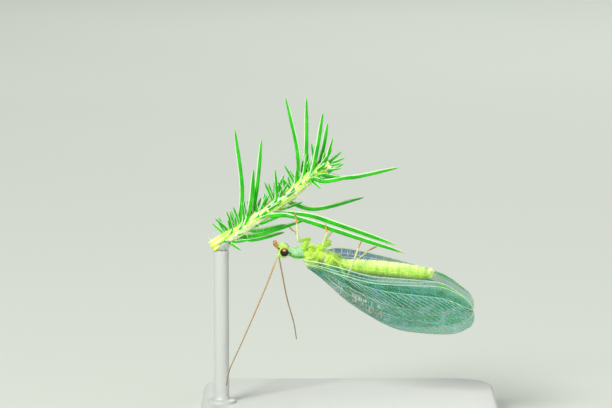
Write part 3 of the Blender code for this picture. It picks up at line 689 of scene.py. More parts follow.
def trunk_shape(body):
    """Neck shield, the two winged segments with their plates, and the roots of the wings."""
    route = spline([p for p, r in TRUNK_CORE], 60)
    radii = [smooth_value([(r, 0.0) for p, r in TRUNK_CORE], k / 60)[0] for k in range(61)]
    body.sweep(route, radii, 36, hint=(0, 1, 0))
    body.lobe((1.56, 0.0, 0.08), (0.5, 0.44, 0.26), (0, 3, 0))
    body.pair((1.5, 0.36, -0.2), (0.44, 0.17, 0.3))
    body.pair((1.2, 0.28, -0.48), (0.26, 0.2, 0.24))
    body.pair((0.45, 0.27, 0.2), (0.42, 0.3, 0.28), (0, 0, 8))
    body.lobe((-0.16, 0.0, 0.3), (0.3, 0.24, 0.2))
    body.pair((0.5, 0.47, -0.3), (0.26, 0.17, 0.42), (0, 24, 0))
    body.pair((0.08, 0.5, -0.28), (0.24, 0.17, 0.46), (0, 22, 0))
    body.pair((-0.3, 0.46, -0.2), (0.2, 0.15, 0.4), (0, 20, 0))
    body.pair((0.42, 0.28, -0.66), (0.28, 0.24, 0.22), (0, 10, 0))
    body.pair((-0.14, 0.28, -0.7), (0.28, 0.22, 0.2))
    body.pair((-0.95, 0.25, 0.5), (0.3, 0.25, 0.2))
    body.lobe((-1.36, 0.0, 0.64), (0.24, 0.2, 0.16), (0, 25, 0))
    body.pair((-0.92, 0.4, 0.02), (0.2, 0.17, 0.42), (0, 24, 0))
    body.pair((-1.26, 0.42, 0.12), (0.2, 0.16, 0.42), (0, 22, 0))
    body.pair((-1.58, 0.34, 0.24), (0.17, 0.14, 0.32), (0, 20, 0))
    body.pair((-1.3, 0.24, -0.16), (0.24, 0.2, 0.18), (0, 18, 0))
    for side in SIDES.values():
        body.sweep([Vector((x, y * side, z)) for x, y, z in
                    ((0.4, 0.45, 0.02), (0.7, 0.68, 0.06), (0.92, 0.82, 0.12))], (0.22, 0.15, 0.08), 16,
                   dome=(False, True))
        body.sweep([Vector((x, y * side, z)) for x, y, z in
                    ((0.3, 0.4, 0.22), (0.46, 0.58, 0.3), (0.64, 0.72, 0.34))], (0.24, 0.18, 0.1), 16,
                   dome=(False, True))
        body.sweep([Vector((x, y * side, z)) for x, y, z in
                    ((-0.1, 0.42, 0.16), (0.08, 0.58, 0.36), (0.34, 0.68, 0.56))], (0.2, 0.12, 0.09), 16,
                   dome=(False, True))
        body.sweep([Vector((x, y * side, z)) for x, y, z in
                    ((-0.9, 0.34, 0.36), (-0.98, 0.52, 0.6), (-1.14, 0.58, 0.78))], (0.2, 0.14, 0.1), 16,
                   dome=(False, True))


def head_shape(body):
    """Wide skull with raised eye rims, feeler sockets, cheeks and the plates of the face."""
    body.lobe((2.62, 0.0, -0.14), (0.4, 0.54, 0.5))
    body.lobe((2.42, 0.0, -0.1), (0.26, 0.42, 0.38))
    body.pair((2.68, 0.17, 0.16), (0.26, 0.2, 0.2))
    body.pair((2.56, 0.39, -0.265), (0.35, 0.19, 0.35))
    body.pair((2.66, 0.2, -0.6), (0.34, 0.17, 0.16), (0, 10, 0))
    body.lobe((2.58, 0.0, -0.5), (0.36, 0.34, 0.19), (0, 6, 0))
    body.sweep([Vector(p) for p in ((2.7, 0, -0.3), (2.92, 0, -0.44), (3.12, 0, -0.56))],
               (0.42, 0.37, 0.26), 28, hint=(0, 1, 0), flat=0.86, dome=(False, True))
    body.pair((2.9, 0.27, -0.5), (0.3, 0.15, 0.2), (0, 30, 0))
    body.lobe((3.09, 0.0, -0.43), (0.15, 0.24, 0.13), (0, 35, 0))
    body.lobe((3.26, 0.0, -0.59), (0.12, 0.19, 0.08), (0, 38, 0))
    body.lobe((3.0, 0.0, -0.14), (0.13, 0.14, 0.2), (0, -10, 0))
    for side in SIDES.values():
        body.sweep([Vector((2.8, 0.22 * side, -0.04)), Vector((2.94, 0.27 * side, 0.06))], (0.17, 0.15), 20,
                   dome=(False, False))


SUTURES = (
    ((0.74, -0.62), (0.5, -0.3), (0.42, 0.1)), ((0.22, -0.86), (0.08, -0.35), (0.04, 0.14)),
    ((0.9, 0.12), (0.3, 0.14), (-0.5, 0.2)), ((-0.6, -0.7), (-0.64, -0.2), (-0.66, 0.4)),
    ((-1.26, -0.14), (-1.32, 0.15), (-1.3, 0.55)), ((-1.66, 0.1), (-1.7, 0.3), (-1.68, 0.6)),
    ((1.92, 0.06), (1.5, 0.12), (1.06, 0.06)),
)
HEAD_SUTURES = (
    ((3.08, -0.62), (3.28, -0.42)), ((2.88, -0.4), (2.98, -0.3), (3.14, -0.2)),
    ((2.33, 0.24), (2.29, -0.1), (2.33, -0.46)), ((2.86, -0.66), (3.0, -0.56), (2.92, -0.42)),
)


def from_line(x, z, line):
    """Distance in side view from a jointed line."""
    best = 9.0
    for (ax, az), (bx, bz) in zip(line, line[1:]):
        dx, dz = bx - ax, bz - az
        t = min(max(((x - ax) * dx + (z - az) * dz) / (dx * dx + dz * dz), 0.0), 1.0)
        best = min(best, math.hypot(x - ax - dx * t, z - az - dz * t))
    return best


def cuticle(place):
    """Relief of the cuticle, how near a seam between plates is, and how near a plate's edge."""
    height = 0.01 * noise.noise(place * 5.0) + 0.005 * noise.noise(place * 14.0)
    x, y, z = place
    seam = edge = 0.0
    if -2.0 < x < 2.0 and abs(y) > 0.2:
        gap = min(from_line(x, z, line) for line in SUTURES) + 0.02 * noise.noise(place * 3.0)
        fade = min(1.0, (abs(y) - 0.2) / 0.08)
        seam, edge = math.exp(-(gap / 0.03) ** 2) * fade, math.exp(-(gap / 0.13) ** 2) * fade
        height += 0.008 * (edge - 0.4) * fade - 0.034 * seam
        height += 0.03 * noise.noise(Vector((x * 1.1, y * 2.0, z * 1.6))) * fade
    if x > 2.2:
        gap = min(from_line(x, z, line) for line in HEAD_SUTURES) + 0.01 * noise.noise(place * 4.0)
        seam = math.exp(-(gap / 0.024) ** 2)
        height -= 0.028 * seam
    if x < -2.1:
        fold = max(math.exp(-((x - end) / 0.05) ** 2) for end in SEGMENT_ENDS)
        seam = fold * 0.4
        if abs(y) > 0.3:
            crease = math.exp(-((z - 0.46 - 0.03 * math.sin(x * 7.0)) / 0.05) ** 2)
            height += 0.016 * noise.noise(Vector((x * 1.2, y * 2.0, z * 3.0))) - 0.02 * crease
            seam = max(seam, crease * 0.5)
    return height, seam, edge


def body_skin(paints):
    body = Shape()
    abdomen_shape(body)
    trunk_shape(body)
    head_shape(body)
    body.fused(0.029, 4).displaced(cuticle)
    skin = body.bm.copy()
    body.finish("body_skin", paints["skin"], "wax_green",
                ("head", "prothorax", "mesothorax", "metathorax", "abdomen"))
    return skin


def skin_hairs(skin, paints):
    """Short pale hairs, lying a little back."""
    rng = random.Random(5)
    skin.normal_update()
    skin.faces.ensure_lookup_table()
    strands = []
    for _ in range(1500):
        face = skin.faces[rng.randrange(len(skin.faces))]
        root = face.calc_center_median()
        length = rng.uniform(0.1, 0.22) * (1.3 if root.x < -8.6 else 1.0)
        lie = Vector((-0.55, 0.0, 0.0)) + 0.25 * Vector([rng.uniform(-1, 1) for _ in range(3)])
        away = (face.normal + lie).normalized()
        bend = (away + 0.4 * Vector((-1, 0, 0))).normalized()
        middle = root + away * length * 0.5
        strands.append(((root - face.normal * 0.02, middle, middle + bend * length * 0.5),
                        (0.007, 0.005, 0.001)))
    skin.free()
    Shape().wires(strands).finish("body_hairs", paints["pale_hair"], "wax_green")


def eyes(paints):
    """Each eye is a ball of fine facets set into its raised rim."""
    for word, side in SIDES.items():
        eye = Shape()
        bm = bmesh.new()
        Shape.layers(bm)
        bmesh.ops.create_icosphere(bm, subdivisions=5, radius=1.0)
        facets = bmesh.ops.inset_individual(bm, faces=bm.faces[:], thickness=0.006, depth=0.004)
        del facets
        place = (Matrix.Translation((2.55, 0.52 * side, -0.275))
                 @ Matrix.Rotation(math.radians(10 * side), 4, "X") @ Matrix.Diagonal((0.345, 0.33, 0.345, 1)))
        bmesh.ops.transform(bm, matrix=place, verts=bm.verts[:])
        bmesh.ops.recalc_face_normals(bm, faces=bm.faces[:])
        eye.add_bm(bm)
        eye.finish("eye_" + word + "_facets", paints["eye"], "eye_bronze", ("eye_" + word,))


def mouthparts(paints):
    """Jaws, the two pairs of jointed palps and the lower lip."""
    mouth = Shape()
    mouth.lobe((3.4, 0.0, -0.74), (0.16, 0.14, 0.1), (0, 40, 0), tone=0.2)
    mouth.lobe((3.44, 0.0, -0.86), (0.12, 0.1, 0.07), (0, 30, 0), tone=0.3)
    for side in SIDES.values():
        def at(x, y, z):
            return Vector((x, y * side, z))
        jaw = spline((at(3.28, 0.17, -0.64), at(3.43, 0.19, -0.69), at(3.54, 0.08, -0.76)), 6)
        mouth.sweep(jaw, (0.1, 0.09, 0.08, 0.07, 0.055, 0.035, 0.015), 12, (0.4, 1.0), flat=0.7)
        jointed(mouth, spline((at(3.26, 0.16, -0.72), at(3.38, 0.3, -0.7), at(3.52, 0.32, -0.75),
                               at(3.6, 0.26, -0.88)), 20), 5, (0.06, 0.05), (0.35, 0.9))
        jointed(mouth, spline((at(3.32, 0.09, -0.82), at(3.38, 0.19, -0.92), at(3.48, 0.18, -0.98)), 12), 3,
                (0.046, 0.038), (0.3, 0.8))
        mouth.sweep([at(3.3, 0.12, -0.8), at(3.44, 0.16, -0.88)], (0.07, 0.05), 10, (0.2, 0.5),
                    dome=(True, True))
    mouth.finish("mouthparts_fine", paints["mouth"], "palp_orange", ("mouthparts",),
                 POSE @ Matrix.Translation((-0.11, 0.0, 0.06)))


def jointed(shape, route, joints, radii, tones):
    """A chain of slightly swollen joints along a route."""
    steps = len(route) - 1
    for k in range(joints):
        low, high = k * steps // joints, (k + 1) * steps // joints
        part = route[low:high + 1]
        f0, f1 = k / joints, (k + 1) / joints
        size = [radii[0] + (radii[1] - radii[0]) * (f0 + (f1 - f0) * i / max(len(part) - 1, 1))
                for i in range(len(part))]
        size = [r * (0.86 + 0.14 * math.sin(math.pi * (0.15 + 0.7 * i / max(len(part) - 1, 1))))
                for i, r in enumerate(size)]
        shape.sweep(part, size, 10, [tones[0] + (tones[1] - tones[0]) * f for f in (f0, f1)],
                    dome=(True, True))


# Feelers

FEELERS = {
    "right": ((2.92, -0.26, 0.04), (3.06, -0.38, 0.2), (3.71, -1.1, 2.46), (4.58, -2.0, 5.06),
              (5.33, -2.8, 7.17), (6.0, -3.4, 9.07), (6.15, -3.8, 10.34)),
    "left": ((2.92, 0.26, 0.04), (3.03, 0.4, 0.23), (2.59, 1.35, 2.21), (1.92, 3.3, 5.4), (1.16, 5.2, 8.3),
             (0.78, 6.6, 10.37)),
}
FEELER_JOINTS = 92


def feelers(paints):
    """A thick root joint, a ball joint and about ninety short ones."""
    rng = random.Random(3)
    for word, route in FEELERS.items():
        feeler = Shape()
        root, knee = Vector(route[0]), Vector(route[1])
        feeler.sweep([root, root.lerp(knee, 0.3), root.lerp(knee, 0.8), knee], (0.1, 0.125, 0.12, 0.085), 20,
                     (0.0, 0.08), dome=(False, True))
        fine = spline(route[1:], FEELER_JOINTS * 3)
        feeler.sweep(fine[:4], (0.07, 0.082, 0.08, 0.06), 18, (0.08, 0.12), dome=(True, True))
        line, radii = [], []
        for k, point in enumerate(fine[4:]):
            f = k / (len(fine) - 5)
            thick = 0.064 - 0.028 * f
            line.append(point)
            radii.append(thick * (0.9, 1.04, 1.0)[k % 3])
        feeler.sweep(line, radii, 12, (0.12, 1.0), dome=(True, True))
        strands = []
        for k in range(0, len(line) - 1, 2):
            ahead = (line[k + 1] - line[k]).normalized()
            for turn in range(4):
                away = (Matrix.Rotation(math.radians(90 * turn + rng.uniform(0, 90)), 3, ahead)
                        @ ahead.orthogonal().normalized())
                tip = line[k] + (away + ahead * 1.1).normalized() * rng.uniform(0.07, 0.11)
                strands.append(((line[k], line[k].lerp(tip, 0.6), tip), (0.006, 0.004, 0.001)))
        feeler.wires(strands)
        feeler.finish("feeler_" + word, paints["feeler"], "feeler_tan", ("antenna_" + word,))


# Legs

def leg_routes():
    """Root, first joint, knee, ankle and claw of each leg."""
    return {
        "leg_front_right": ((1.05, -0.25, -0.62), (0.63, -0.7, -1.72), (1.59, -1.9, -2.0),
                            (1.77, -1.0, -2.98), in_body_frame((-4.4, -3.5, 17.44))),
        "leg_front_left": ((1.05, 0.25, -0.62), (0.74, 0.82, -1.15), (1.39, 1.9, -0.3),
                           (1.82, 1.25, -1.38), in_body_frame((-4.78, -2.16, 16.13))),
        "leg_mid_right": ((-0.25, -0.3, -0.8), (-1.03, -0.83, -1.46), (-0.39, -2.0, -1.75),
                          (-0.66, -1.0, -2.5), in_body_frame((-1.98, -3.82, 16.59))),
        "leg_mid_left": ((-0.25, 0.3, -0.8), (-1.05, 0.9, -1.0), (-0.65, 1.95, -0.7),
                         (-1.1, 1.05, -1.8), in_body_frame((-1.05, -3.35, 16.17))),
        "leg_hind_right": ((-1.3, -0.3, -0.1), (-1.9, -0.8, 0.1), (-2.58, -1.2, 1.2),
                           (-3.25, -1.0, -1.35), in_body_frame((0.87, -3.72, 15.23))),
        "leg_hind_left": ((-1.3, 0.3, -0.1), (-1.9, 0.8, 0.1), (-2.62, 1.2, 1.25),
                          (-4.18, 1.0, -0.5), in_body_frame((2.06, -3.48, 14.81))),
    }


def leg(name, joints, paints, rng):
    """Hip, thigh, shin, five foot joints and two claws, with short hairs."""
    root, first, knee, ankle, claw = [Vector(p) for p in joints]
    piece = Shape()
    hip_end = root.lerp(first, 0.62)
    piece.sweep([root, root.lerp(first, 0.25), root.lerp(first, 0.45), hip_end], (0.2, 0.19, 0.16, 0.12), 18,
                (0.0, 0.05), dome=(True, True))
    piece.sweep([hip_end, first], (0.11, 0.1), 16, (0.05, 0.08), dome=(True, True))
    bow = (knee - first).orthogonal().normalized() * 0.04
    thigh = spline((first, first.lerp(knee, 0.5) + bow, knee), 10)
    piece.sweep(thigh, [profile(((0, 0.085), (0.35, 0.115), (1, 0.07)), k / 10) for k in range(11)], 16,
                (0.08, 0.3), dome=(True, True))
    shin = spline((knee, knee.lerp(ankle, 0.5) - bow * 0.8, ankle), 12)
    piece.sweep(shin, [profile(((0, 0.06), (0.15, 0.07), (0.6, 0.058), (1, 0.068)), k / 12)
                       for k in range(13)], 14, (0.34, 0.62), dome=(True, True))
    foot = spline((ankle, ankle.lerp(claw, 0.5) + bow * 0.5, claw), 30)
    marks = (0, 12, 17, 21, 25, 30)
    for k, (low, high) in enumerate(zip(marks, marks[1:])):
        part = foot[low:high + 1]
        piece.sweep(part, [0.042 + 0.012 * i / (len(part) - 1) for i in range(len(part))], 12,
                    (0.7 + 0.05 * k, 0.76 + 0.05 * k), dome=(True, True))
    ahead = (foot[-1] - foot[-3]).normalized()
    side = ahead.orthogonal().normalized()
    for sign in (-1, 1):
        hook = spline((claw, claw + ahead * 0.07 + side * 0.05 * sign, claw + ahead * 0.12 + side * 0.1 * sign
                       - ahead.cross(side) * 0.05), 5)
        piece.sweep(hook, (0.025, 0.022, 0.018, 0.013, 0.008, 0.002), 8, (0.98, 1.0))
    piece.lobe(claw + ahead * 0.05, (0.035, 0.035, 0.025), tone=0.95, segments=12, rings=8)
    strands = []
    for line, count, size, thick in ((thigh, 50, 0.1, 0.1), (shin, 110, 0.13, 0.06), (foot, 60, 0.07, 0.045)):
        for _ in range(count):
            f = rng.random()
            point = sampled(line, f * 0.98)
            run = (sampled(line, min(f + 0.02, 1.0)) - sampled(line, max(f - 0.02, 0.0))).normalized()
            away = Matrix.Rotation(rng.uniform(0, 2 * math.pi), 3, run) @ run.orthogonal().normalized()
            start = point + away * thick * 0.8
            tip = start + (away + run * 0.9).normalized() * size * rng.uniform(0.7, 1.2)
            strands.append(((start, start.lerp(tip, 0.55) + away * 0.008, tip), (0.006, 0.004, 0.001)))
    for sign in (-1, 1):
        spur = ankle + (ankle - knee).normalized() * 0.12 + side * 0.05 * sign
        strands.append(((ankle, ankle.lerp(spur, 0.6), spur), (0.014, 0.01, 0.002)))
    piece.wires(strands)
    piece.finish(name + "_fine", paints["leg"], "leg_green", (name,))


def legs(paints):
    rng = random.Random(11)
    for name, joints in leg_routes().items():
        leg(name, joints, paints, rng)


# Wings

FOREWING_FRONT = ((0.95, -0.86, 0.1), (-0.4, -1.32, 0.02), (-2.0, -2.06, -0.02), (-4.5, -2.32, 0.32),
                  (-7.8, -1.65, 0.58), (-10.4, -1.05, 0.95), (-12.5, -0.95, 2.2))
FOREWING_HIND = ((0.6, -0.78, 0.75), (-0.75, -0.3, 1.85), (-3.1, -0.24, 3.7), (-6.5, -0.26, 5.4),
                 (-9.0, -0.62, 5.55), (-11.6, -0.95, 5.2), (-12.85, -0.95, 4.5))
HIND_LEAD = 0.8
WING_CAMBER = 0.3
TIP_BULGE = 0.42
WING_SPACING = 0.7
HINDWING_SPAN = (0.15, 0.93)
HINDWING_EDGES = {"front": (0.12, 0.42, 0.12), "hind": (0.64, 0.08, -0.06)}
HINDWING_ROOT = ((-0.98, -0.56, 0.62), (-1.16, -0.5, 0.84))
PLEAT = 0.035


def mirrored(points, side):
    return [Vector((x, -y * side, z)) for x, y, z in points]


def forewing_surface(side):
    """Middle surface of a forewing: u runs from root to tip, v from front to hind edge."""
    front = spline(mirrored(FOREWING_FRONT, side), 120)
    hind = spline(mirrored(FOREWING_HIND, side), 120)

    def surface(u, v):
        start, end = sampled(front, u), sampled(hind, u ** HIND_LEAD)
        bow = 4 * v * (1 - v)
        room = min((end - start).length / 5.0, 1.0)
        place = start.lerp(end, v)
        place.x -= bow * TIP_BULGE * u ** 3
        place.y += side * bow * WING_CAMBER * room
        return place
    return surface


def outward(surface, u, v, side):
    """Unit normal of a wing surface, pointing away from the body."""
    step = 1e-3
    across = surface(u, min(v + step, 1.0)) - surface(u, max(v - step, 0.0))
    along = surface(min(u + step, 1.0), v) - surface(max(u - step, 0.0), v)
    normal = along.cross(across).normalized()
    return normal if normal.y * side > 0 else -normal


def hindwing_edge(fore, side, u, v):
    """A point of the solid hindwing, under the forewing and towards the body."""
    along = HINDWING_SPAN[0] + (HINDWING_SPAN[1] - HINDWING_SPAN[0]) * u
    lines = [middle + root * max(0.0, 1 - u / reach) + tip * max(0.0, u - 0.8) / 0.2
             for (middle, root, tip), reach in zip(HINDWING_EDGES.values(), (0.42, 0.3))]
    across = lines[0] + (lines[1] - lines[0]) * v
    along += 0.12 * v * (1 - v) * u ** 3
    return fore(along, across) - outward(fore, along, across, side) * WING_SPACING


def hindwing_surface(side):
    """The hindwing's middle surface, drawn on from its solid to its root on the trunk."""
    fore = forewing_surface(side)
    stations = (0.08, 0.22, 0.36, 0.5, 0.64, 0.78, 0.9, 1.0)
    edges = []
    for root, v in zip(HINDWING_ROOT, (0.0, 1.0)):
        points = mirrored((root,), side) + [hindwing_edge(fore, side, u, v) for u in stations]
        edges.append(spline(points, 100))

    def surface(u, v):
        start, end = sampled(edges[0], u), sampled(edges[1], u)
        bow = 4 * v * (1 - v)
        place = start.lerp(end, v)
        place.x -= bow * 0.5 * u ** 3
        place.y += side * bow * 0.12
        return place
    return surface


class Net:
    """Where the veins of a wing run, as lines of (u, v), each with the veins' radii in mm."""

    def __init__(self, fore, length, chord):
        self.fore, self.length, self.chord = fore, length, chord
        self.veins = []
        self.slope = 0.72 * length / chord

    def add(self, points, start, end=None):
        self.veins.append((points, start, end if end is not None else start))

    def line(self, knots, start, end=None, steps=28):
        low, high = knots[0][0], knots[-1][0]
        marks = [low + (high - low) * k / steps for k in range(steps + 1)]
        self.add([(u, self.value(knots, u)) for u in marks], start, end)

    @staticmethod
    def value(knots, u):
        u = min(max(u, knots[0][0]), knots[-1][0])
        for k, ((a, _), (b, _)) in enumerate(zip(knots, knots[1:])):
            if u <= b:
                f = (k + (u - a) / (b - a)) / (len(knots) - 1)
                return smooth_value(knots, f)[1]
        return knots[-1][1]

    def clipped(self, points):
        """The part of a line that lies on the wing."""
        kept = [points[0]]
        for (u0, v0), (u1, v1) in zip(points, points[1:]):
            limit = 1.0
            if u1 > 1.0:
                limit = (1.0 - u0) / (u1 - u0)
            if v1 > 1.0:
                limit = min(limit, (1.0 - v0) / (v1 - v0))
            kept.append((u0 + (u1 - u0) * limit, v0 + (v1 - v0) * limit))
            if limit < 1.0:
                break
        return kept

    def grow(self):
        fore = self.fore
        lead = [(0.0, 0.3), (0.08, 0.17), (0.25, 0.1), (0.5, 0.065), (0.68, 0.04), (0.77, 0.0)]
        stalk = [(0.0, 0.38), (0.08, 0.26), (0.25, 0.165), (0.5, 0.12), (0.75, 0.08), (0.9, 0.055),
                 (0.975, 0.0)]
        sector = [(0.15, 0.215), (0.3, 0.245), (0.5, 0.262), (0.7, 0.272), (0.88, 0.292), (1.0, 0.33)]
        media = [(0.0, 0.45), (0.08, 0.4), (0.16, 0.41), (0.3, 0.475), (0.5, 0.53), (0.66, 0.56), (0.78, 0.62)]
        cubit = [(0.0, 0.55), (0.08, 0.58), (0.2, 0.65), (0.36, 0.71), (0.55, 0.745), (0.75, 0.775),
                 (0.92, 0.84)]
        self.line([(0.0, 0.0), (0.5, 0.0), (1.0, 0.0)], 0.044, 0.034, 60)
        self.add([(k / 60, 1.0) for k in range(61)], 0.022)
        self.add([(1.0, k / 12) for k in range(13)], 0.035, 0.022)
        self.line(lead, 0.034, 0.026)
        self.line(stalk, 0.042, 0.03)
        self.line(sector, 0.032, 0.024)
        self.zigzag(media, 0.034, 0.022, 0.16)
        self.zigzag(cubit, 0.034, 0.022, 0.2)
        self.line([(0.0, 0.66), (0.08, 0.76), (0.17, 0.87), (0.27, 1.0)], 0.026, 0.018)
        self.line([(0.0, 0.8), (0.06, 0.9), (0.13, 1.0)], 0.024, 0.018)
        for k in range(27 if fore else 20):
            u = 0.045 + 0.028 * k * (1 if fore else 1.3)
            if u < 0.76:
                self.add([(u + 0.008, 0.0), (u, self.value(lead, u))], 0.017)
        for k in range(7):
            u = 0.8 + 0.025 * k
            self.add([(u + 0.008, 0.0), (u, self.value(stalk, u))], 0.015)
        self.add([(0.1, self.value(lead, 0.1)), (0.1, self.value(stalk, 0.1))], 0.018)
        for u in (0.7, 0.73, 0.76):
            self.add([(u, self.value(lead, u)), (u - 0.004, self.value(stalk, u))], 0.015)
        for k in range(11 if fore else 8):
            u = 0.215 + 0.068 * k * (1 if fore else 1.32)
            if u < 0.94:
                self.add([(u, self.value(stalk, u)), (u + 0.004, self.value(sector, u))], 0.013)
        self.branches(sector, 17 if fore else 12)
        self.basal(media, cubit, sector)
        return self.veins

    def zigzag(self, knots, start, end, first):
        """A line that turns a little at each of its joints."""
        points = []
        for k in range(41):
            u = knots[0][0] + (knots[-1][0] - knots[0][0]) * k / 40
            kick = 0.009 * (1 if (k // 2) % 2 else -1) if u > first else 0.0
            points.append((u, self.value(knots, u) + kick))
        self.add(points, start, end)

    def branches(self, sector, count):
        """Slanting veins from the sector to the margin, forked at the end, and their steps."""
        starts = [0.225 + (0.7 / count) * k for k in range(count)]
        lines = []
        for u in starts:
            v = self.value(sector, u)
            path = [(u + t * (1.03 - v) / self.slope * 1.12, v + (1.03 - v) * (0.86 * t + 0.14 * t * t))
                    for t in [i / 12 for i in range(13)]]
            lines.append(self.clipped(path))
            self.add(lines[-1], 0.028, 0.018)
        for k, path in enumerate(lines):
            if len(path) < 6:
                continue
            fork, end = path[-3], path[-1]
            reach = 0.55 / self.length
            if end[1] > 0.99:
                self.add([fork, (min(end[0] - reach, 1.0), 1.0)], 0.014, 0.012)
            else:
                self.add([fork, (1.0, min(end[1] + 0.5 / self.chord * 0.6, 1.0))], 0.014, 0.012)
        for first, t0, t1 in ((1, 0.22, 0.16), (3, 0.46, 0.34), (2, 0.76, 0.62)):
            pairs = list(zip(lines, lines[1:]))[first:]
            for k, (here, there) in enumerate(pairs):
                f = t0 + (t1 - t0) * k / max(len(pairs) - 1, 1)
                a = self.along(here, f)
                b = self.along(there, f - 0.13)
                if a[0] < 0.985 and b[0] < 0.985 and len(there) > 5:
                    self.add([a, b], 0.02)

    @staticmethod
    def along(path, f):
        k = f * 12
        i = min(int(k), len(path) - 2)
        t = min(k - i, 1.0)
        return tuple(path[i][n] + (path[i + 1][n] - path[i][n]) * t for n in (0, 1))

    def basal(self, media, cubit, sector):
        """Short veins near the root and the forked ones along the hind edge."""
        for u in (0.06, 0.13):
            self.add([(u, self.value(media, u)), (u + 0.004, self.value(cubit, u))], 0.02)
        for u in (0.19, 0.25, 0.31, 0.37):
            self.add([(u, self.value(media, u)), (u + 0.02, self.value(cubit, u + 0.02))], 0.022)
        for u in (0.17, 0.225):
            self.add([(u, self.value(sector, u)), (u + 0.012, self.value(media, u))], 0.018)
        oval = [(0.165, 0.415), (0.175, 0.475), (0.205, 0.5), (0.235, 0.49), (0.25, 0.455)]
        self.add(oval, 0.022)
        for k in range(18):
            u = 0.085 + 0.0245 * k
            v = self.value(cubit, u)
            du = (1.0 - v) / self.slope
            middle = (u + du * 0.5, v + (1 - v) * 0.5)
            self.add([(u, v), middle, (u + du, 1.0)], 0.024, 0.018)
            self.add([middle, (u + du * 0.8 - 0.008, 1.0)], 0.018, 0.015)


def wing_film(surface, side, columns, rows):
    """The clear film: a grid laid on the wing's surface, pleated a little, with two faces."""
    bm = bmesh.new()
    tone, across = Shape.layers(bm)
    bmesh.ops.create_grid(bm, x_segments=columns, y_segments=rows, size=0.5)
    for vert in bm.verts:
        u, v = vert.co.x + 0.5, vert.co.y + 0.5
        vert[tone], vert[across] = u, v
        pleat = PLEAT * math.sin(v * 40.0) * min(1.0, u / 0.1) * (1 - u ** 4) * 4 * v * (1 - v)
        vert.co = surface(u, v) + outward(surface, u, v, side) * pleat
    bmesh.ops.recalc_face_normals(bm, faces=bm.faces[:])
    bmesh.ops.solidify(bm, geom=bm.faces[:], thickness=0.02)
    bmesh.ops.recalc_face_normals(bm, faces=bm.faces[:])
    return bm


def vein_strands(surface, side, net):
    """The veins as round wires that lie on the film."""
    strands = []
    for points, start, end in net:
        line, radii = [], []
        for (u0, v0), (u1, v1) in zip(points, points[1:]):
            count = max(1, math.ceil((surface(u1, v1) - surface(u0, v0)).length / 0.4))
            for k in range(count):
                t = k / count
                line.append((u0 + (u1 - u0) * t, v0 + (v1 - v0) * t))
        line.append(points[-1])
        total = len(line) - 1
        places = []
        for k, (u, v) in enumerate(line):
            u, v = min(max(u, 0.0), 1.0), min(max(v, 0.0), 1.0)
            pleat = PLEAT * math.sin(v * 40.0) * min(1.0, u / 0.1) * (1 - u ** 4) * 4 * v * (1 - v)
            places.append(surface(u, v) + outward(surface, u, v, side) * pleat)
            radii.append(start + (end - start) * k / total)
        strands.append((places, radii))
    return strands


def fringe(surface, side, rng, count):
    """Short hairs along the hind edge and round the tip."""
    strands = []
    for k in range(count):
        f = k / (count - 1)
        if f < 0.8:
            u, v, du, dv = 0.03 + 0.97 * f / 0.8, 1.0, 0.3, 1.0
        else:
            u, v, du, dv = 1.0, 1.0 - (f - 0.8) / 0.2, 1.0, 0.0
        root = surface(u, v)
        inner = surface(max(u - 0.01 * du, 0.0), max(v - 0.02 * dv, 0.0))
        away = (root - inner).normalized()
        away = (away + 0.35 * Vector([rng.uniform(-1, 1) for _ in range(3)])).normalized()
        length = rng.uniform(0.1, 0.16)
        strands.append(((root, root + away * length * 0.6, root + away * length), (0.007, 0.005, 0.001)))
    return strands


def wings(paints):
    rng = random.Random(7)
    for kind, make, fore in (("forewing", forewing_surface, True), ("hindwing", hindwing_surface, False)):
        length, chord = (14.0, 5.0) if fore else (12.0, 2.7)
        for word, side in SIDES.items():
            surface = make(side)
            name = kind + "_" + word
            film = Shape()
            film.add_bm(wing_film(surface, side, 110 if fore else 90, 40 if fore else 28))
            film.finish(name + "_film", paints["film"], "wing_film", (name,))
            net = Net(fore, length, chord).grow()
            for part, lines, paint in (("margin", net[:3], "margin"), ("veins", net[3:6], "vein"),
                                       ("veinlets", net[6:], "veinlet")):
                Shape().wires(vein_strands(surface, side, lines), 1).finish(name + "_" + part, paints[paint],
                                                                            "wing_film")
            Shape().wires(fringe(surface, side, rng, 300)).finish(name + "_fringe", paints["pale_hair"],
                                                                  "wing_film")


# Perch

STEM = ((-11.05, -2.6, 14.63), (-8.0, -2.6, 16.61), (-6.1, -2.6, 17.95), (-4.48, -2.6, 19.19),
        (-3.2, -2.6, 20.3), (-1.6, -2.6, 21.4))
STEM_RADII = (0.52, 0.46)
LEAVES = (
    (-9.1, (-0.1, 0.0, 8.2), 0.5), (-8.4, (0.7, -0.5, 4.6), 0.15), (-8.1, (1.0, 1.3, 6.6), 0.2),
    (-7.4, (0.6, -0.6, 2.1), 0.1), (-7.1, (1.8, 1.1, 3.1), 0.2), (-6.0, (0.0, -0.7, 3.0), 0.1),
    (-4.2, (-0.9, 0.0, 7.2), 0.4), (-3.7, (0.2, 0.9, 6.6), 0.1), (-3.2, (1.0, -0.6, 5.2), 0.1),
    (-2.7, (0.9, 0.9, 3.9), 0.1), (-2.3, (0.9, -0.6, 2.6), 0.1), (-5.5, (6.6, 2.7, -0.1), -0.75),
    (-3.3, (3.5, -0.9, 0.3), -0.3), (-2.8, (6.6, 0.6, 0.4), -0.5), (-9.9, (6.4, 0.8, 1.4), -0.3),
    (-8.9, (3.7, 0.5, 0.4), -0.2), (-9.5, (4.2, 0.9, 0.1), -0.45),
)
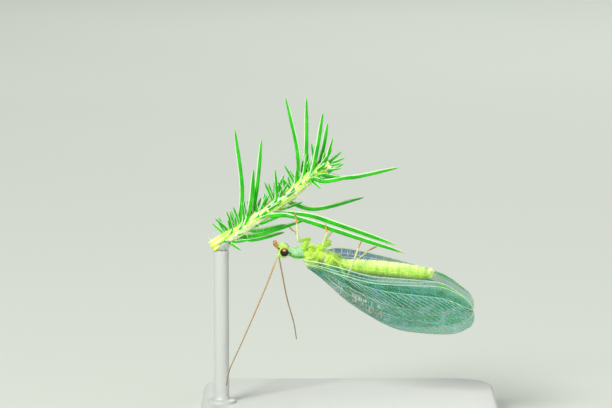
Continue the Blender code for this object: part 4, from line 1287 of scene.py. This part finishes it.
SPRIGS = (
    (-9.4, (-0.5, -0.4, 1.9), 0.1), (-8.7, (0.25, -0.6, 2.3), 0.1), (-7.8, (0.1, 0.7, 3.4), 0.1),
    (-6.9, (0.95, -0.55, 1.15), 0.05), (-6.5, (0.6, 0.6, 1.7), 0.1), (-5.7, (0.5, -0.6, 0.9), 0.05),
    (-5.2, (-0.2, 0.5, 1.6), 0.1), (-4.6, (0.3, -0.6, 1.9), 0.1), (-4.0, (0.5, -0.6, 2.6), 0.1),
    (-3.5, (0.75, 0.7, 2.9), 0.1), (-3.0, (1.2, -0.6, 1.7), 0.05), (-2.2, (1.5, 0.5, 1.3), 0.05),
    (-3.4, (2.9, 0.5, 1.2), -0.15), (-8.3, (3.3, -0.5, 1.1), -0.2), (-6.4, (2.6, 0.6, 0.5), -0.2),
    (-10.1, (2.2, -0.5, 0.1), -0.15), (-9.8, (-0.7, 0.6, 1.5), 0.05),
)
GRIPPED = {
    "perch_leaf_lower": ((-5.3, -3.22, 17.33), (-4.53, -3.4, 17.24), (-3.47, -3.52, 16.93),
                         (-2.27, -3.58, 16.55), (0.79, -3.6, 15.52), (2.6, -3.6, 14.93),
                         (4.37, -3.6, 14.34)),
    "perch_leaf_upper": ((-5.1, -2.6, 17.42), (-4.0, -2.6, 17.36), (-2.8, -2.6, 17.14),
                         (-1.33, -2.6, 16.64), (1.34, -2.6, 15.7), (3.68, -2.6, 14.84)),
}
LEAF_FEET = (
    ((-6.6, -2.85, 17.2), (-6.0, -3.05, 17.31), (-5.1, -3.24, 17.34), (-4.2, -3.42, 17.16)),
    ((-6.4, -2.6, 17.45), (-5.6, -2.6, 17.44), (-4.9, -2.6, 17.43), (-4.0, -2.6, 17.36)),
)


def on_stem(x, route):
    """Point of the stem's axis at a world X in mm."""
    for a, b in zip(route, route[1:]):
        if a.x <= x <= b.x:
            return a.lerp(b, (x - a.x) / (b.x - a.x))
    return route[0] if x < route[0].x else route[-1]


def leaf(shape, points, width, steps=22, foot=0.0):
    """A narrow channelled leaf along its route, broad side to the front, pale on its upper edge."""
    route = spline(points, steps)
    radii = [width * profile(((0.0, 0.5), (0.12, 0.9), (0.35, 1.0), (0.75, 0.88), (0.94, 0.6),
                              (1.0, 0.22)), k / steps) for k in range(steps + 1)]
    run = route[-1] - route[0]
    upward = Vector((0, -1, 0)).cross(run).normalized()
    if upward.z < 0 or (abs(upward.z) < 0.3 and upward.x > 0):
        upward = -upward
    shape.sweep(route, radii, 16, (foot, 1.0), hint=upward, flat=0.6, dome=(False, True), channel=0.45)


def perch(paints):
    """The cut stem with low ribs, its leaves, their small side leaves and fine white hairs."""
    rng = random.Random(21)
    axis = spline(STEM, 60)
    stem = Shape()
    radii = [STEM_RADII[0] + (STEM_RADII[1] - STEM_RADII[0]) * k / 60 for k in range(61)]
    radii = [r * (1 + 0.03 * noise.noise(Vector((k * 0.4, 0, 0)))) for k, r in enumerate(radii)]
    stem.sweep(axis, radii, 48, hint=(0, 1, 0))
    ends = [f for f in stem.bm.faces if len(f.verts) > 4]
    tone = stem.bm.verts.layers.float["tone"]
    for face in ends:
        inner = bmesh.ops.inset_individual(stem.bm, faces=[face], thickness=0.05, depth=0.0)
        core = bmesh.ops.inset_individual(stem.bm, faces=[face], thickness=0.12, depth=-0.02)
        del inner, core
        for vert in face.verts:
            vert[tone] = 1.0
    centres = [sampled(axis, k / 200) for k in range(201)]

    def ribs(place):
        nearest = min(range(0, 201, 4), key=lambda k: (centres[k] - place).length_squared)
        arm = place - centres[nearest]
        around = math.atan2(arm.y, arm.z)
        return 0.022 * math.cos(9 * around) + 0.012 * noise.noise(place * 2.5), None, None
    stem.displaced(ribs)
    for foot, _, _ in LEAVES + SPRIGS[::2]:
        base = on_stem(foot, axis)
        stem.lobe(base, (0.5, 0.54, 0.5), segments=20, rings=12)
    stem.finish("stem_ribbed", paints["stem"], "stem_green", ("perch_stem",), WORLD)
    leaves = Shape()
    for foot, reach, bow in LEAVES + SPRIGS:
        root = on_stem(foot, axis)
        reach = Vector(reach)
        tip = root + reach
        sideways = Vector((bow, 0, 0)) if abs(reach.z) > abs(reach.x) else Vector((0, 0, bow))
        run = (on_stem(foot + 0.3, axis) - on_stem(foot - 0.3, axis)).normalized()
        face = Vector((0, -0.4 if reach.y < 0 else 0.4, 0))
        start = (root - run * 0.9 + face, root + face + reach.normalized() * 0.25)
        leaf(leaves, (*start, root.lerp(tip, 0.4) + sideways, tip), 0.19 if reach.length > 3.6 else 0.14)
        for k in range(2 if (foot, tuple(reach), bow) in SPRIGS else 3):
            small = reach.normalized() + 0.5 * Vector([rng.uniform(-1, 1) for _ in range(3)])
            end = root + small.normalized() * rng.uniform(1.0, 2.4)
            leaf(leaves, (root + small.normalized() * 0.2, root.lerp(end, 0.5) + Vector((0, 0, 0.05)), end),
                 0.12, 12)
    for route in LEAF_FEET:
        leaf(leaves, route, 0.21, foot=0.08)
    leaves.finish("stem_leaves", paints["leaf"], "leaf_green", (), WORLD)
    for name, route in GRIPPED.items():
        gripped = Shape()
        leaf(gripped, route, 0.2, 40, 0.2)
        gripped.finish(name + "_fine", paints["leaf"], "leaf_green", (name,), WORLD)
    strands = []
    for _ in range(420):
        f = rng.random()
        base = sampled(axis, f)
        run = (sampled(axis, min(f + 0.02, 1.0)) - sampled(axis, max(f - 0.02, 0.0))).normalized()
        away = Matrix.Rotation(rng.uniform(0, 2 * math.pi), 3, run) @ run.orthogonal().normalized()
        start = base + away * 0.46
        bend = (away + 0.5 * Vector([rng.uniform(-1, 1) for _ in range(3)])).normalized()
        length = rng.uniform(0.3, 0.9)
        middle = start + away * length * 0.5
        strands.append(((start, middle, middle + bend * length * 0.5), (0.012, 0.009, 0.002)))
    Shape().wires(strands).finish("stem_hairs", paints["white_hair"], "stem_green", (), WORLD)


# Stand

BASE_SIZE = (24.0, 16.0, 2.0)
ROD_AT = (-10.3, -2.6)
ROD_RADIUS = 0.6


def stand(paints):
    """A flat base with soft edges, and a rod with a foot ring and a cradle under the stem."""
    width, depth, height = BASE_SIZE
    base = Shape()
    bm = bmesh.new()
    Shape.layers(bm)
    bmesh.ops.create_cube(bm, size=1.0)
    bmesh.ops.transform(bm, matrix=Matrix.Translation((0, 0, height / 2)) @ Matrix.Diagonal((*BASE_SIZE, 1.0)),
                        verts=bm.verts[:])
    upright = [e for e in bm.edges if abs(e.verts[0].co.z - e.verts[1].co.z) > 1]
    bmesh.ops.bevel(bm, geom=upright, offset=3.0, segments=16, profile=0.5, affect="EDGES", material=-1)
    rim = [e for e in bm.edges if min(v.co.z for v in e.verts) > height - 0.1]
    bmesh.ops.bevel(bm, geom=rim, offset=0.5, segments=6, profile=0.5, affect="EDGES", material=-1)
    foot = [e for e in bm.edges if max(v.co.z for v in e.verts) < 0.1]
    bmesh.ops.bevel(bm, geom=foot, offset=0.12, segments=2, profile=0.5, affect="EDGES", material=-1)
    base.add_bm(bm)
    base.finish("stand_base_finished", paints["base"], "stand_grey", ("stand_base",), WORLD, 40)
    rod = Shape()
    top = on_stem(ROD_AT[0], spline(STEM, 14)).z - 0.6
    x, y = ROD_AT
    stations = ((1.9, 1.15), (2.12, 1.15), (2.2, 1.1), (2.26, 0.98), (2.3, 0.72), (2.45, 0.62), (2.7, 0.6),
                (top - 0.9, 0.6), (top - 0.55, 0.6), (top - 0.2, 0.62), (top - 0.12, 0.6))
    rod.sweep([Vector((x, y, z)) for z, r in stations], [r for z, r in stations], 48, hint=(1, 0, 0))
    axis = spline(STEM, 60)
    middle = on_stem(ROD_AT[0], axis)
    run = (on_stem(ROD_AT[0] + 0.3, axis) - on_stem(ROD_AT[0] - 0.3, axis)).normalized()
    across = Vector((0, 1, 0))
    under = run.cross(across).normalized()
    under = under if under.z < 0 else -under
    arc = [middle + (under * math.cos(a) + across * math.sin(a)) * 0.66
           for a in [math.radians(-52 + 104 * k / 20) for k in range(21)]]
    rod.sweep(arc, [0.42] * 21, 24, hint=run, flat=0.3, dome=(True, True))
    rod.finish("stand_rod_cradle", paints["rod"], "stand_grey", ("stand_rod",), WORLD, 40)


# Scene around it

def view(target, distance, azimuth, elevation):
    """Camera at a distance from a target, in millimetres and degrees."""
    camera = bpy.data.cameras.new("camera")
    camera.lens, camera.sensor_width = 200.0, 36.0
    camera.clip_start, camera.clip_end = 0.01, 10.0
    item = bpy.data.objects.new("camera", camera)
    bpy.context.scene.collection.objects.link(item)
    a, e = math.radians(azimuth), math.radians(elevation)
    away = Vector((math.sin(a) * math.cos(e), -math.cos(a) * math.cos(e), math.sin(e)))
    item.location = (Vector(target) + away * distance) * MM
    item.rotation_euler = (-away).to_track_quat("-Z", "Y").to_euler()
    bpy.context.scene.camera = item


def lamp(name, place, size, power, colour):
    light = bpy.data.lights.new(name, "AREA")
    light.energy, light.size, light.color = power, size, colour
    item = bpy.data.objects.new(name, light)
    bpy.context.scene.collection.objects.link(item)
    item.location = Vector(place)
    aim = Vector((0, -3, 14)) * MM - item.location
    item.rotation_euler = aim.to_track_quat("-Z", "Y").to_euler()


def surroundings():
    bm = bmesh.new()
    bmesh.ops.create_circle(bm, cap_ends=True, segments=96, radius=2.5)
    mesh = bpy.data.meshes.new("floor")
    bm.to_mesh(mesh)
    bm.free()
    mesh.materials.append(floor_paint())
    floor = bpy.data.objects.new("floor", mesh)
    bpy.context.scene.collection.objects.link(floor)
    lamp("key", (-0.24, -0.34, 0.34), 0.18, 2.5, (1.0, 0.99, 0.95))
    lamp("fill", (0.38, -0.4, 0.06), 0.4, 1.1, (0.97, 1.0, 0.98))
    lamp("back", (0.1, 0.42, 0.34), 0.3, 1.0, (1.0, 1.0, 0.96))
    world = bpy.data.worlds.new("studio")
    world.use_nodes = True
    world.node_tree.nodes["Background"].inputs["Color"].default_value = (0.9, 0.95, 0.92, 1.0)
    world.node_tree.nodes["Background"].inputs["Strength"].default_value = 0.32
    bpy.context.scene.world = world


def main():
    bpy.context.scene.view_settings.view_transform = "Standard"
    view((-3.52, -2.42, 18.12), 272.0, 0.0, 8.0)
    surroundings()
    green, tan = (0.46, 0.78, 0.06), (0.52, 0.31, 0.1)
    paints = {
        "skin": skin_paint(), "eye": eye_paint(), "film": film_paint(),
        "vein": vein_paint("wing_veins", (0.74, 0.9, 0.8), (0.5, 0.8, 0.64)),
        "veinlet": vein_paint("wing_veinlets", (0.56, 0.76, 0.66), (0.36, 0.62, 0.5)),
        "margin": vein_paint("wing_margin", (0.62, 0.78, 0.7), (0.42, 0.64, 0.54)),
        "stem": stem_paint(), "leaf": leaf_paint(),
        "pale_hair": hair_paint("pale_hair", (0.85, 0.9, 0.7), (0.6, 0.7, 0.35)),
        "white_hair": hair_paint("white_hair", (0.95, 0.98, 0.92), (0.75, 0.85, 0.6)),
        "mouth": horn_paint("palp_orange", (0.0, (0.56, 0.6, 0.12)), (0.35, (0.72, 0.34, 0.12)),
                            (0.75, (0.5, 0.16, 0.05)), (1.0, (0.14, 0.04, 0.02))),
        "feeler": horn_paint("feeler_tan", (0.0, (0.56, 0.78, 0.26)), (0.1, (0.62, 0.64, 0.28)),
                             (0.2, tan), (0.7, (0.4, 0.22, 0.07)), (1.0, (0.26, 0.13, 0.04))),
        "leg": horn_paint("leg_green", (0.0, green), (0.28, (0.56, 0.84, 0.14)), (0.38, (0.76, 0.9, 0.5)),
                          (0.6, (0.86, 0.72, 0.44)), (0.72, (0.8, 0.28, 0.07)), (1.0, (0.52, 0.12, 0.03))),
        "base": stand_paint("base_grey", (0.66, 0.68, 0.65), (0.6, 0.62, 0.59), 0.42),
        "rod": stand_paint("rod_grey", (0.6, 0.62, 0.6), (0.54, 0.56, 0.54), 0.36),
    }
    skin = body_skin(paints)
    skin_hairs(skin, paints)
    eyes(paints)
    mouthparts(paints)
    feelers(paints)
    legs(paints)
    wings(paints)
    perch(paints)
    stand(paints)


main()
